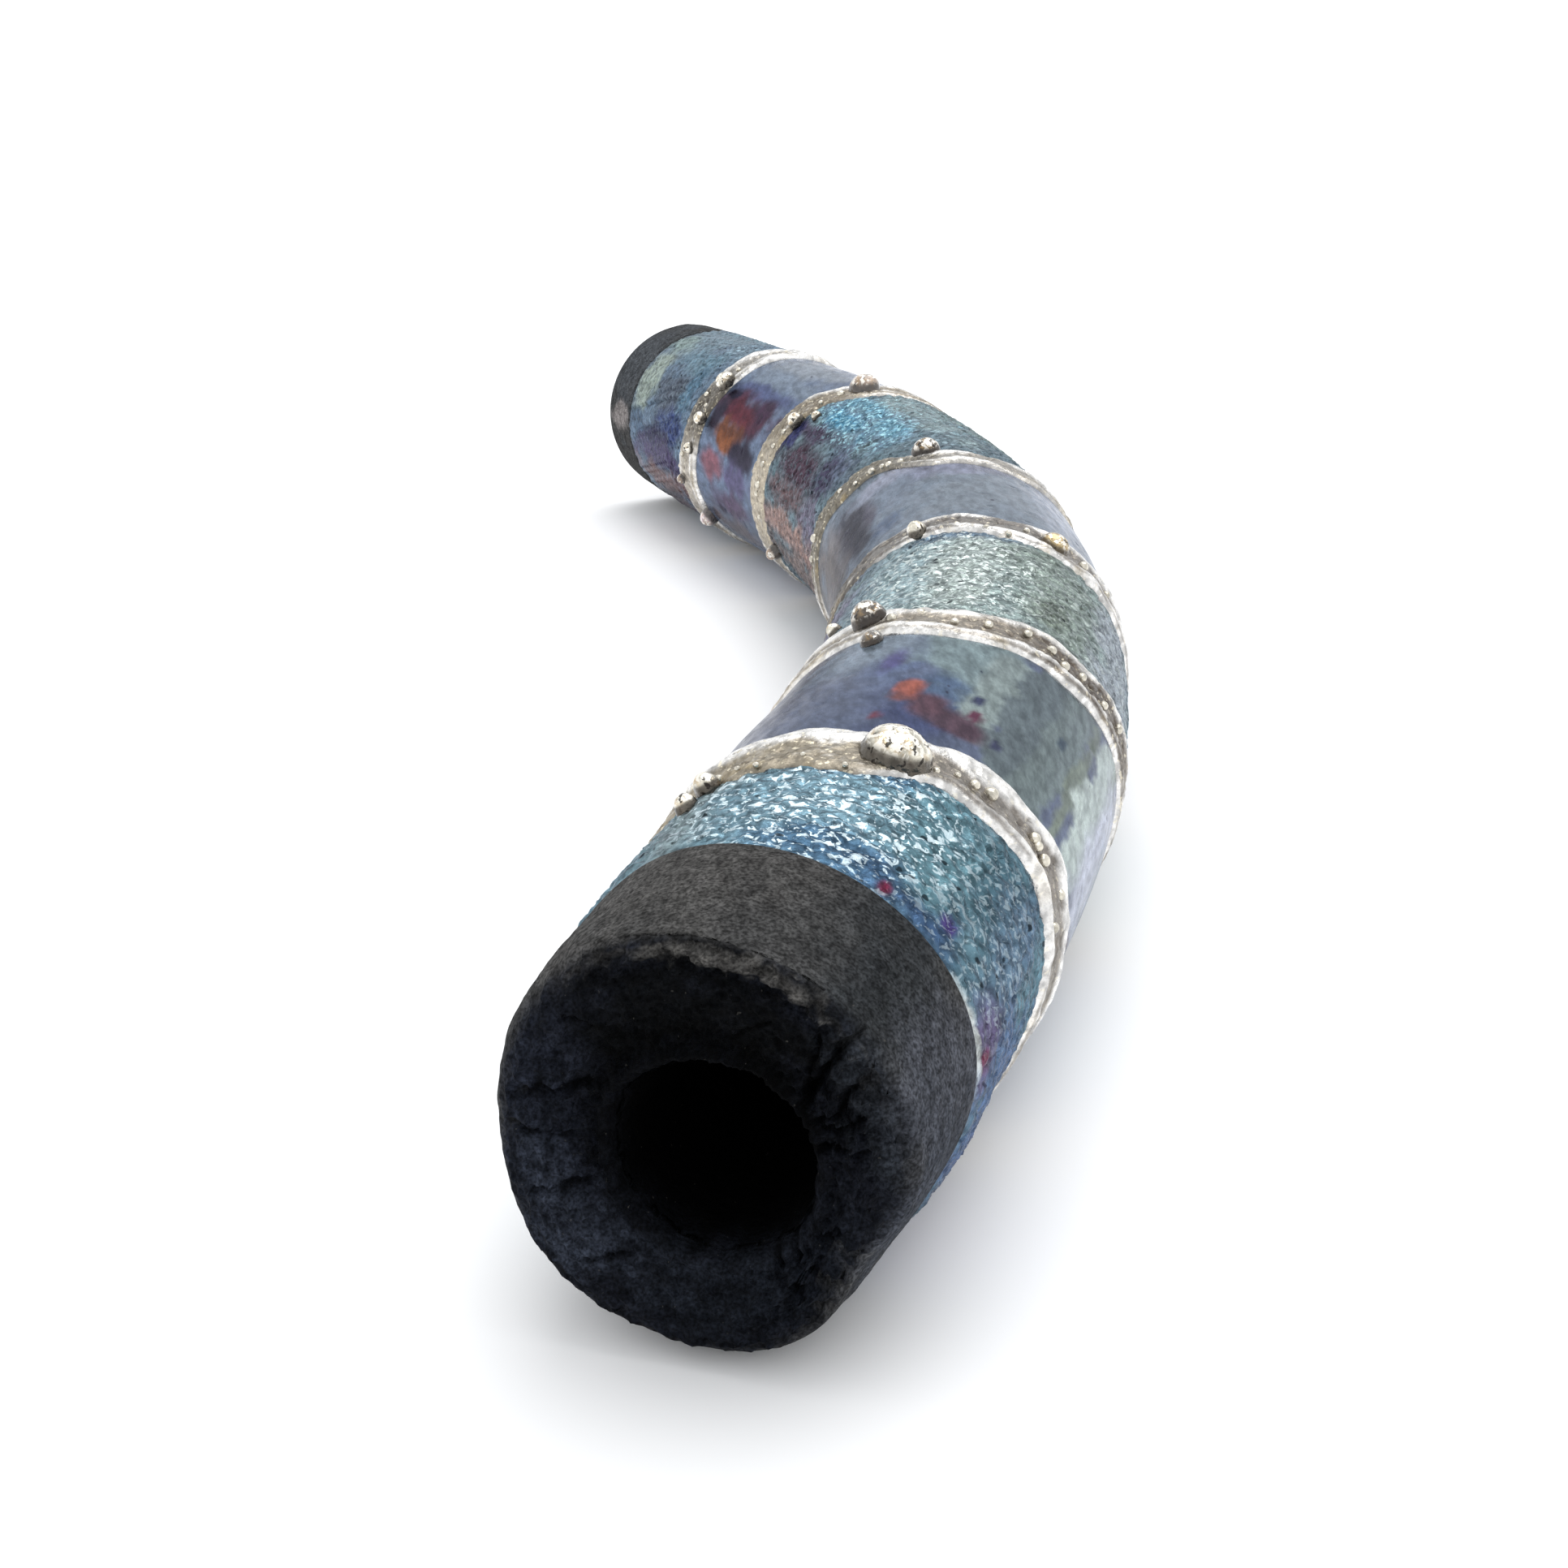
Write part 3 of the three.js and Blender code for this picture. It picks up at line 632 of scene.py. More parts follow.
def add_ridge(number, material):
    ridge = RIDGES[number]
    angles = turned_angles(RIDGE_STEP)
    across = np.linspace(-1, 1, RIDGE_ROWS)[:, None] + 0 * angles
    width = ridge["width"] * (1 + 0.06 * lattice_noise(angles, 0 * angles, 2.8, 380 + number))
    ragged = 0.22 * layered_noise(angles, 0 * angles, 1.3, 390 + number, 4)
    ragged = ragged + 0.10 * lattice_noise(angles, 0 * angles, 0.45, 370 + number) * across
    base = np.array([[0.96], [0.0], [-0.96]]) + 0 * angles
    base_ragged = ragged.mean(axis=0) + 0 * base
    spread = np.concatenate([across, base])
    stations = ridge_middle(ridge, angles) + spread * width / 2
    stations = stations + np.concatenate([ragged, base_ragged])
    every = np.broadcast_to(angles, stations.shape)
    relief = ridge_relief(number, every[:RIDGE_ROWS], across, stations[:RIDGE_ROWS])
    height = np.concatenate([relief, np.full(base.shape, -COAT)])
    points = on_tube(stations, every, hand_radius(every, stations) + height).reshape(-1, 3)
    tint, grain = ridge_colours(number, every, spread, stations, height)
    bead_places, beads = ridge_beads(number, len(points))
    bead_tint = np.tile([*linear("cfc9bb"), 0.16], (len(bead_places), 1))
    bead_grain = np.tile([0.2, 0.0, 0.0, 1.0], (len(bead_places), 1))
    make_piece(
        f"silver_ridge_{number + 1}", material,
        np.concatenate([points, bead_places]), ring_faces(*stations.shape) + beads,
        np.concatenate([tint.reshape(-1, 4), bead_tint]),
        np.concatenate([grain.reshape(-1, 4), bead_grain]),
    )


def ridge_colours(number, angle, across, station, height):
    """Lips painted bright as highlights on pale lustre, a duller flat with gold sand at its near side,
    dark pits, and seams painted dark as a thin shadow along the glaze.
    """
    flat, sand, near, far, _, _ = crown_blend(number, angle)
    off_middle = np.abs(across)
    # The lips, and the rim where a lip is strong, are pale lustre painted near white as a highlight,
    # mottled a little.
    highlight_edge_jitter = 0.05 * lattice_noise(angle, station, 1.1, 660 + number)
    lip = smooth(0.17, 0.29, height + highlight_edge_jitter)
    rim = smooth(0.78, 0.90, off_middle) * smooth(0.3, 0.7, np.where(across < 0, near, far))
    lip = np.maximum(lip, rim)
    highlight_mottle = 1 + 0.22 * layered_noise(angle, station, 0.9, 680 + number, 3)
    colour = flat + lip[..., None] * (linear("e6e4e1") * highlight_mottle[..., None] - flat)
    gold = smooth(0.3, 0.9, lattice_noise(angle, station, 0.9, 620 + number)) * sand
    colour = lay_over(colour, "c4ad7c", 0.4 * gold * (1 - smooth(-0.75, -0.2, across)))
    pit = (1 - smooth(-0.01, 0.07, height)) * (1 - smooth(0.6, 0.85, off_middle))
    colour = lay_over(colour, "2c241f", 0.85 * pit)
    red = smooth(0.55, 0.9, lattice_noise(angle, station, 0.8, 640 + number)) * pit
    colour = lay_over(colour, "6a1c22", 0.5 * red)
    # Painted shadow: a thin dark line where the ridge's edge meets the glaze.
    colour = lay_over(colour, "44444c", 0.7 * smooth(0.93, 0.98, off_middle))
    roughness = 0.20 + 0.22 * sand * (1 - lip) + 0.25 * pit
    return with_alpha(np.clip(colour, 0, 1), roughness), red_channel(sand)


# ---- drops

# Colour and roughness of each kind of drop.
TONES = {
    "silver": ("e4dece", 0.18), "gold": ("cbb68c", 0.20), "umber": ("5c554e", 0.22),
    "amber": ("9c8878", 0.14), "rose": ("d8c4c6", 0.14),
}


DROP_RINGS = 36
DROP_COLUMNS = 56
DROP_LUMPS = 0.05

# The first drop is the largest: this much wider and taller than its CAD solid.
LARGEST_SWELL = 1.04
LARGEST_RISE = 1.22


def drop_colours(tone, lump, dark, shaded_foot):
    """A drop's own colour, warmer on its lumps, with dark pits, and its base darkened as painted shade
    where it sits on the ridge.
    """
    code, roughness = TONES[tone]
    colour = np.broadcast_to(linear(code), (*lump.shape, 3))
    colour = lay_over(colour, "b08c50", 0.35 * smooth(0.1, 0.8, lump))
    colour = lay_over(colour, "1c1612", 0.85 * dark)
    # Painted shade: the base of the drop darkened where it meets the ridge.
    colour = lay_over(colour, "2c241e", 0.9 * shaded_foot)
    return with_alpha(np.clip(colour, 0, 1), roughness)


def add_drop(order, name, drop, material):
    """A round melted drop with painted shade at its base, a lumpy skin and dark pits."""
    ridge, offset, angle, length, width, height, tone = drop
    station = RIDGES[ridge - 1]["station"] + offset
    swell, rise = (LARGEST_SWELL, LARGEST_RISE) if order == 0 else (1.0, 1.0)
    half = (swell * length / 2, swell * width / 2, rise * height / 2)
    rings, columns = DROP_RINGS, DROP_COLUMNS
    points = bead_points(station, angle, half, 0.0, DROP_LUMPS, 900 + order, rings, columns)
    polar = np.linspace(0, math.pi, rings)[:, None] + np.zeros((1, columns))
    turn = np.zeros((rings, 1)) + np.arange(columns)[None, :] * 360.0 / columns
    patch = 40.0 * order
    lump = layered_noise(turn / 6 + patch, polar * 1.4 + 3 * order, 0.7, 930 + order)
    pits, _, which = cells(turn / 8 + patch, polar * length / 2 + 3 * order, 0.36, 950 + order)
    dark = np.exp(-((pits / 0.22) ** 2)) * (which > 0.35) * np.sin(polar)
    axis = on_tube(np.array(station), np.array(float(angle)), outside_radius(station) - 0.2)
    scale = 1 + 0.035 * lump * np.sin(polar) - 0.05 * dark
    points = axis + (points - axis) * scale[..., None]
    shaded_foot = smooth(0.84, 1.12, polar)
    tint = drop_colours(tone, lump, dark, shaded_foot)
    grain = red_channel((1 - dark) * (1 - shaded_foot))
    make_piece(
        name, material, weld_poles(points), bead_faces(rings, columns, 0),
        weld_poles(tint), weld_poles(grain),
    )


# ---- bare clay

# The near face's dish, how far its mouth lies off the axis, down and towards the inner side (less
# than 0 is towards the outer side), and the mouth's radius.
FACE_DISH = 0.60
BORE_DROP = 0.75
BORE_SIDE = -0.30
MOUTH_RADIUS = 2.9

# Rounding of the rims, how far the bare ends run under the glaze and how deep they dip there, and
# the rounding of the mouths.
RIM_LENGTH = 1.0
RIM_DEPTH = 0.85
TUCK_LENGTH = 0.35
TUCK_DEPTH = 0.30
LIP_WIDTH = 0.55
LIP_DEPTH = 0.80
FAR_FLARE = 0.35
CLAY_STEP = 0.14


def stroke(angle, radius, start, end, width):
    """Closeness, 0 to 1, to a wavering scratch on the face between two (angle, radius) points."""
    x = radius * np.cos(np.radians(angle))
    y = radius * np.sin(np.radians(angle))
    ends = [
        (r * math.cos(math.radians(a)), r * math.sin(math.radians(a))) for a, r in (start, end)
    ]
    (x0, y0), (x1, y1) = ends
    length = math.hypot(x1 - x0, y1 - y0)
    along = ((x - x0) * (x1 - x0) + (y - y0) * (y1 - y0)) / length
    wave = 0.16 * lattice_noise(angle, radius * 3.0, 1.6, 860)
    wave = wave + 0.06 * lattice_noise(angle, radius * 3.0, 0.6, 861)
    off = ((x - x0) * (y1 - y0) - (y - y0) * (x1 - x0)) / length + wave
    beyond = np.maximum(0, np.maximum(-along, along - length))
    return np.exp(-((off / width) ** 2) - (beyond / (2 * width)) ** 2)


# Tears in the soft clay of the near face: start and end as (angle, radius), width, depth.
TEARS = [
    ((158, 3.2), (139, 5.9), 0.12, 0.60), ((166, 3.4), (152, 5.4), 0.10, 0.40),
    ((151, 3.6), (134, 5.2), 0.09, 0.30), ((171, 3.3), (163, 5.0), 0.09, 0.32),
    ((180, 3.0), (174, 4.9), 0.11, 0.38), ((20, 3.6), (8, 5.2), 0.10, 0.20),
    ((-6, 4.0), (-2, 5.6), 0.09, 0.18), ((-28, 3.8), (-24, 5.4), 0.11, 0.22),
    ((228, 3.6), (226, 6.0), 0.14, 0.50), ((238, 3.9), (234, 6.0), 0.12, 0.42),
    ((216, 3.6), (214, 5.6), 0.12, 0.25), ((50, 3.9), (42, 4.9), 0.09, 0.15),
    ((110, 3.4), (118, 4.4), 0.10, 0.18), ((-60, 4.6), (-52, 5.6), 0.09, 0.14),
]


def face_relief(angle, radius):
    """How far the near face is sunk into the tube, in mm, at each angle and radius."""
    place = radius * 2.4
    sunk = 0.12 + 0.14 * layered_noise(angle, place, 2.4, 801)
    sunk += 0.10 * layered_noise(angle, place, 0.9, 802)
    for start, end, width, depth in TEARS:
        sunk += depth * stroke(angle, radius, start, end, width)
        sunk -= 0.25 * depth * stroke(angle + 3, radius + 0.12, start, end, width * 1.3)
    crumb, lean, _ = cells(angle, radius * 1.6, 0.5, 803)
    torn = bump_at(angle, 228, 20) + 0.5 * bump_at(angle, 165, 20)
    torn = torn * smooth(3.2, 4.2, radius)
    ragged = bump_at(angle, 100, 44) * smooth(5.0, 5.4, radius)
    sunk += (0.46 * torn + 0.28 * ragged + 0.22) * (0.55 - crumb + 0.8 * lean)
    sunk += FACE_DISH * (1 - smooth(2.9, 5.2, radius))
    return sunk


def mouth_radius(angle, depth, blend):
    """Distance of the bore's wall from the axis: low and uneven at the mouth, true further in."""
    turn = np.radians(angle)
    wobble = 0.22 * layered_noise(angle, depth * 0.7, 3.4, 810)
    wobble = wobble + 0.10 * layered_noise(angle, depth, 0.9, 811)
    shift = BORE_SIDE * np.cos(turn) - BORE_DROP * np.sin(turn)
    uneven = MOUTH_RADIUS + shift + wobble
    return uneven * (1 - blend) + BORE_RADIUS * blend


def quarter_turn(share):
    """What a share of a quarter circle has risen by from its start, and has left to its end."""
    turn = share * math.pi / 2
    return 1 - math.cos(turn), 1 - math.sin(turn)


def near_rounding(angles):
    """How much of the near rim's rounding is kept at each angle: its top edge is sharper."""
    return 1 - 0.45 * np.exp(-((turn_from(angles, 98) / 40) ** 4))


def near_end_rows(angles):
    """Rows of the clay's profile, as (kind, station, radius): the near rim and bare side."""
    rows = []
    first = RIM_LENGTH * near_rounding(angles)
    for share in np.linspace(0, 1, 15)[:-1]:
        risen, left = quarter_turn(share)
        drop = RIM_DEPTH * near_rounding(angles) * left
        rows.append(("rim", first * risen, hand_radius(angles, first * risen) - drop))
    for share in np.linspace(0.0, 1.0, 44):
        station = first + (FRONT_GLAZE_EDGE + TUCK_LENGTH - first) * share
        sunk = TUCK_DEPTH * smooth(0.92, 1.0, share)
        rows.append(("side", station, hand_radius(angles, station) - sunk))
    return rows


def under_glaze_rows(angles):
    stations = np.linspace(FRONT_GLAZE_EDGE + 1.2, FAR_GLAZE_EDGE - 1.2, 60)
    return [("under", station, hand_radius(angles, station) - COAT) for station in stations]


def far_end_rows():
    """The far bare side, its rim and its flat face."""
    rows = []
    span = TUBE_LENGTH - RIM_LENGTH - FAR_GLAZE_EDGE + TUCK_LENGTH
    for share in np.linspace(0, 1, 36):
        station = FAR_GLAZE_EDGE - TUCK_LENGTH + span * share
        sunk = TUCK_DEPTH * (1 - smooth(0.0, 0.08, share))
        rows.append(("side", station, outside_radius(station) - sunk))
    for share in np.linspace(0, 1, 12)[1:]:
        risen, left = quarter_turn(share)
        station = TUBE_LENGTH - RIM_LENGTH * left
        rows.append(("rim", station, outside_radius(station) - RIM_DEPTH * risen))
    outer = outside_radius(TUBE_LENGTH) - RIM_DEPTH
    for share in np.linspace(0, 1, 22)[1:]:
        rows.append(("far_face", TUBE_LENGTH, outer + (BORE_RADIUS + FAR_FLARE - outer) * share))
    return rows


def bore_rows(angles):
    """The bore, from its far mouth to its uneven near one."""
    rows = []
    for inset in (0.3, 0.9, 2.0):
        rows.append(("bore", TUBE_LENGTH - inset, BORE_RADIUS + 0.30 * math.exp(-inset / 0.5)))
    for station in np.linspace(TUBE_LENGTH - 4.0, 14.0, 46):
        rows.append(("bore", station, BORE_RADIUS))
    for depth in np.linspace(13.0, 0.9, 34):
        blend = smooth(4.0, 12.0, depth)
        rows.append(("bore", depth, mouth_radius(angles, depth + 0 * angles, blend)))
    return rows


def near_face_rows(angles):
    """The near mouth's rounded lip, then the face out to the rim."""
    rows = []
    mouth = mouth_radius(angles, 0 * angles, 0.0)
    for share in np.linspace(0, 1, 5)[:-1]:
        risen, left = quarter_turn(share)
        rows.append(("lip", LIP_DEPTH * left, mouth + LIP_WIDTH * risen))
    span = hand_radius(angles, 0.0) - RIM_DEPTH * near_rounding(angles) - mouth - LIP_WIDTH
    for share in np.linspace(0, 1, 40)[:-1]:
        rows.append(("face", 0.0, mouth + LIP_WIDTH + span * share))
    return rows


def rows_of(kinds, *wanted):
    """Which rows are of the wanted kinds, as a column to lay over all the angles."""
    return np.isin(kinds, wanted)[:, None]


def clay_skin(angle, station):
    """Unevenness of the bare sides: soft swells, a fine tooth and a few pores."""
    skin = 0.08 * layered_noise(angle, station, 3.4, 820)
    skin = skin + 0.05 * layered_noise(angle, station * 2.5, 0.6, 821)
    pores, _, tone = cells(angle, station, 0.8, 822)
    skin = skin - 0.06 * np.exp(-((pores / 0.12) ** 2)) * (tone > 0.4)
    return skin * np.maximum(1 - smooth(4.6, 5.2, station), smooth(113.0, 113.6, station))


def add_clay(material):
    angles = turned_angles(CLAY_STEP)
    rows = near_end_rows(angles) + under_glaze_rows(angles) + far_end_rows()
    rows += bore_rows(angles) + near_face_rows(angles)
    kinds = np.array([kind for kind, _, _ in rows])
    station = np.array([row + 0 * angles for _, row, _ in rows])
    radius = np.array([row + 0 * angles for _, _, row in rows])
    angle = np.broadcast_to(angles, station.shape)
    near_rim = rows_of(kinds, "rim") & (station < TUBE_LENGTH / 2)
    torn = rows_of(kinds, "face", "lip") + near_rim * (1 - smooth(0.0, 1.0, station))
    fade = np.where(kinds == "lip", 0.5, 1.0)[:, None]
    station = station + face_relief(angle, radius) * torn * fade
    radius = radius + clay_skin(angle, station) * rows_of(kinds, "side")
    far_dents = np.abs(0.08 * layered_noise(angle, radius * 3, 1.8, 825))
    station = station - rows_of(kinds, "far_face") * far_dents
    radius = radius + rows_of(kinds, "bore") * 0.06 * layered_noise(angle, station, 1.4, 826)
    make_piece(
        "clay_tube", material, on_tube(station, angle, radius),
        ring_faces(*station.shape), clay_colours(angle, station, radius, kinds),
    )


SIDE_PATCHES = [
    (138, 2.4, 18, 3.4, "292b2d", 0.6), (172, 2.6, 22, 3.4, "404248", 0.6),
    (205, 2.6, 24, 3.4, "383b42", 0.6), (72, 3.2, 30, 3.0, "434241", 0.6),
    (45, 116, 40, 4, "404347", 0.6), (4, 115.5, 9, 2.0, "787372", 0.4),
    (300, 3, 50, 3.4, "242426", 0.6),
]

# On the faces, a patch's second number is three times its distance from the axis.
FACE_PATCHES = [
    # The near-black patch at angle 96 is painted shade at the top of the face, where it overhangs
    # inward.
    (0, 15, 40, 5, "191c24", 0.6), (96, 12.5, 56, 4.6, "060709", 0.6), (98, 17.3, 34, 0.4, "353433"),
    (160, 16.5, 22, 2.4, "202328", 0.6), (262, 14, 50, 4, "15181e", 0.6),
    (322, 15.5, 26, 3, "272b34", 0.6),
]


def face_colours(angle, radius):
    """Blue-black clay, with painted shade in its tears, darkening towards the mouth and at the top of
    the face, and pale crumbs along the top of the rim.
    """
    face = paint(angle, radius * 3, "12141a", FACE_PATCHES, 850)
    mottle_and_tear_shade = 0.85 * layered_noise(angle, radius * 3, 0.8, 851, 4)
    # Painted shade along the tears.
    for start, end, width, _ in TEARS:
        mottle_and_tear_shade = mottle_and_tear_shade - 0.8 * stroke(angle, radius, start, end, width)
    face = face * np.clip(1 + mottle_and_tear_shade, 0.15, 2.0)[..., None]
    # Painted shade, deepening towards the mouth.
    face = face * (0.25 + 0.75 * smooth(3.0, 4.2, radius))[..., None]
    crumb = smooth(0.20, 0.5, layered_noise(angle, radius * 4, 0.4, 852, 2))
    crumb = crumb * bump_at(angle, 104, 40) * smooth(5.35, 5.6, radius)
    return lay_over(face, "5e5c59", 0.45 * crumb)


def clay_colours(angle, station, radius, kinds):
    """Smoked clay: brown-grey on the side, blue-black on the faces, and painted shade deepening to black
    down the bore.
    """
    side = paint(angle, station, "393939", SIDE_PATCHES, 840)
    side = side * (1 + 0.16 * layered_noise(angle, station * 6, 1.5, 841, 4))[..., None]
    face = face_colours(angle, radius)
    colour = np.where(rows_of(kinds, "face", "lip", "far_face")[..., None], face, side)
    near_rim = rows_of(kinds, "rim") & (station < TUBE_LENGTH / 2)
    mix = (smooth(0.25, 0.9, station) * near_rim)[..., None]
    colour = np.where(near_rim[..., None], face * (1 - mix) + side * mix, colour)
    # Painted shade down the bore, darker the further it lies from each mouth.
    depth = smooth(0.2, 2.6, np.minimum(station, TUBE_LENGTH - station))
    dark = face * (1 - 0.96 * depth)[..., None]
    colour = np.where(rows_of(kinds, "bore")[..., None], dark, colour)
    return with_alpha(np.clip(colour, 0, 1))


# ---- materials

class Graph:
    """A material's nodes, with object coordinates in millimetres, stretched along x, and the tint
    and roughness on the mesh's points."""

    def __init__(self, name, stretch):
        self.material = bpy.data.materials.new(name)
        self.material.use_nodes = True
        self.tree = self.material.node_tree
        coordinates = self.add("ShaderNodeTexCoord", {})["Object"]
        scale = (stretch / MM, 1 / MM, 1 / MM)
        self.place = self.add("ShaderNodeMapping", {"Vector": coordinates, "Scale": scale})["Vector"]
        own = self.add("ShaderNodeAttribute", {}, attribute_name="tint")
        self.tint, self.own_roughness = own["Color"], own["Alpha"]

    def feed(self, node, inputs):
        """Link or set a node's inputs: each is another node's output, a hex code or a plain value."""
        for key, value in inputs.items():
            if isinstance(value, bpy.types.NodeSocket):
                self.tree.links.new(value, node.inputs[key])
            elif isinstance(value, str):
                node.inputs[key].default_value = (*linear(value), 1.0)
            else:
                node.inputs[key].default_value = value

    def add(self, kind, inputs, **settings):
        """A new node's outputs."""
        node = self.tree.nodes.new(kind)
        for key, value in settings.items():
            setattr(node, key, value)
        self.feed(node, inputs)
        return node.outputs

    def grain(self):
        """The red channel of the mesh's grain: how strongly glints are painted on rough bands, the sand
        on ridges, and on drops the share clear of pits and painted shade.
        """
        grain = self.add("ShaderNodeAttribute", {}, attribute_name="grain")["Color"]
        return self.add("ShaderNodeSeparateColor", {"Color": grain})["Red"]

    def noise(self, scale, detail=2.0, distortion=0.0):
        inputs = {"Vector": self.place, "Scale": scale, "Detail": detail, "Distortion": distortion}
        return self.add("ShaderNodeTexNoise", inputs)["Fac"]

    def voronoi(self, scale):
        return self.add("ShaderNodeTexVoronoi", {"Vector": self.place, "Scale": scale})["Distance"]

    def ramp(self, value, low, high, to_low=0.0, to_high=1.0):
        inputs = {"Value": value, "From Min": low, "From Max": high, "To Min": to_low, "To Max": to_high}
        return self.add("ShaderNodeMapRange", inputs, interpolation_type="SMOOTHSTEP")["Result"]

    def specks(self, low, high, *noise):
        """1 where the noise is above high, 0 where it is below low."""
        return self.ramp(self.noise(*noise), low, high)

    def wavering(self, low, high, *noise):
        """A value that the noise leads from low to high."""
        return self.ramp(self.noise(*noise), 0.3, 0.7, low, high)

    def math(self, operation, first, second):
        return self.add("ShaderNodeMath", {0: first, 1: second}, operation=operation)["Value"]

    def times(self, first, second):
        return self.math("MULTIPLY", first, second)

    def mix(self, factor, first, second, blend="MIX"):
        inputs = {"Factor": factor, 6: first, 7: second}
        return self.add("ShaderNodeMix", inputs, data_type="RGBA", blend_type=blend)[2]

    def cover(self, base, colour, share, strength):
        """The base with a colour over it, by a share at each place and one strength."""
        return self.mix(self.times(share, strength), base, colour)

    def drift(self, colour, scale, low, high):
        """The colour made lighter and darker by fine noise."""
        level = self.wavering(low, high, scale, 4.0)
        grey = self.add("ShaderNodeCombineColor", {0: level, 1: level, 2: level})["Color"]
        return self.mix(1.0, colour, grey, "MULTIPLY")

    def bump(self, height, strength, depth_mm, after=None):
        inputs = {"Strength": strength, "Distance": depth_mm * MM, "Height": height}
        if after is not None:
            inputs["Normal"] = after
        return self.add("ShaderNodeBump", inputs)["Normal"]

    def finish(self, colour, roughness, normal, **values):
        shader = self.tree.nodes["Principled BSDF"]
        self.feed(shader, {"Base Color": colour, "Roughness": roughness, "Normal": normal})
        self.feed(shader, {key.replace("_", " "): value for key, value in values.items()})
        return self.material


# The glaze's sheen stays dark where it is seen edge on.
DULL_EDGE = (0.42, 0.44, 0.50, 1.0)
GLAZE_METAL = 0.65

# Colour of the glint highlights painted on each rough band.
PAINTED_GLINT_TINTS = {0: "e2f4fa", 2: "eef8f4", 4: "b6e6f2", 6: "c4dce6"}


def rough_glaze(number):
    """Sandy lustre: a coloured ground with pale glints painted on the grains as highlights, and dark
    pinpricks.
    """
    graph = Graph(f"rough_glaze_{number + 1}", 1.45)
    # Painted highlights: pale flecks on the grains, as strong as the mesh's grain says.
    fleck = graph.specks(0.565, 0.63, 2.3, 2.0, 0.7)
    small = graph.specks(0.60, 0.65, 4.2, 2.0, 0.5)
    painted_sparkle = graph.times(graph.math("MAXIMUM", fleck, small), graph.grain())
    pale = graph.mix(0.12, PAINTED_GLINT_TINTS[number], graph.tint)
    base = graph.drift(graph.tint, 2.4, 0.48, 1.40)
    base = graph.cover(base, pale, painted_sparkle, 0.95)
    pinprick = graph.ramp(graph.voronoi(1.3), 0.14, 0.20, 1.0, 0.0)
    chosen = graph.specks(0.50, 0.56, 0.8, 1.0)
    base = graph.cover(base, "10171c", graph.times(pinprick, chosen), 0.85)
    roughness = graph.wavering(0.20, 0.42, 4.0, 2.0)
    normal = graph.bump(graph.noise(6.5, 3.0), 0.8, 0.05)
    normal = graph.bump(graph.voronoi(3.4), 0.5, 0.06, normal)
    return graph.finish(
        base, roughness, normal,
        Metallic=GLAZE_METAL, Specular_IOR_Level=0.2, Specular_Tint=DULL_EDGE,
    )


def smooth_glaze(number):
    """Runny lustre: deep soft colour under a gloss, with faint mottling and small specks."""
    graph = Graph(f"smooth_glaze_{number + 1}", 0.45)
    base = graph.drift(graph.tint, 2.2, 0.74, 1.26)
    base = graph.drift(base, 7.0, 0.88, 1.12)
    speck = graph.ramp(graph.voronoi(1.1), 0.07, 0.12, 1.0, 0.0)
    chosen = graph.specks(0.55, 0.60, 0.6, 1.0)
    base = graph.cover(base, "2a2e40", speck, chosen)
    roughness = graph.wavering(0.16, 0.30, 2.0, 3.0)
    normal = graph.bump(graph.noise(1.2, 3.0), 0.25, 0.06)
    return graph.finish(
        base, roughness, normal,
        Metallic=GLAZE_METAL, Specular_IOR_Level=0.15, Specular_Tint=DULL_EDGE,
    )


def silver_lustre():
    """Silver lustre: lips painted bright as highlights in the tint, a sandy grey flat with pale specks
    and burnt pits.
    """
    graph = Graph("silver_lustre", 1.3)
    sand = graph.grain()
    base = graph.drift(graph.tint, 2.6, 0.66, 1.26)
    speck = graph.times(graph.specks(0.60, 0.68, 4.2, 2.0), sand)
    base = graph.cover(base, "f4ead0", speck, 0.7)
    burnt = graph.times(graph.specks(0.60, 0.72, 2.6, 3.0), sand)
    base = graph.cover(base, "3a3028", burnt, 0.6)
    unevenness = graph.wavering(-0.06, 0.10, 5.0)
    roughness = graph.math("ADD", graph.own_roughness, unevenness)
    normal = graph.bump(graph.noise(3.4, 4.0), 0.8, 0.10)
    return graph.finish(base, roughness, normal, Metallic=0.8)


def drop_finish(tone, metallic, coat):
    """A melted drop: mottled metal or glassy glaze under a skin of tiny dimples."""
    graph = Graph(f"{tone}_melt", 1.0)
    clear_of_pits_and_shade = graph.grain()
    base = graph.drift(graph.tint, 2.6, 0.60, 1.30)
    warm = graph.times(graph.specks(0.50, 0.60, 2.8, 3.0), clear_of_pits_and_shade)
    base = graph.cover(base, "b08e58", warm, 0.45)
    # Pale flecks painted on as glint highlights, kept off the pits and the shaded base.
    glint = graph.times(graph.specks(0.50, 0.55, 3.8, 2.0, 0.6), clear_of_pits_and_shade)
    base = graph.cover(base, "fffaf0", glint, 0.85)
    base = graph.cover(base, "1a1410", graph.specks(0.61, 0.65, 4.0, 2.0), 0.9)
    unevenness = graph.wavering(-0.05, 0.10, 4.0)
    roughness = graph.math("ADD", graph.own_roughness, unevenness)
    normal = graph.bump(graph.noise(3.4, 3.0), 0.9, 0.10)
    return graph.finish(
        base, roughness, normal, Metallic=metallic, Coat_Weight=coat, Coat_Roughness=0.05,
    )


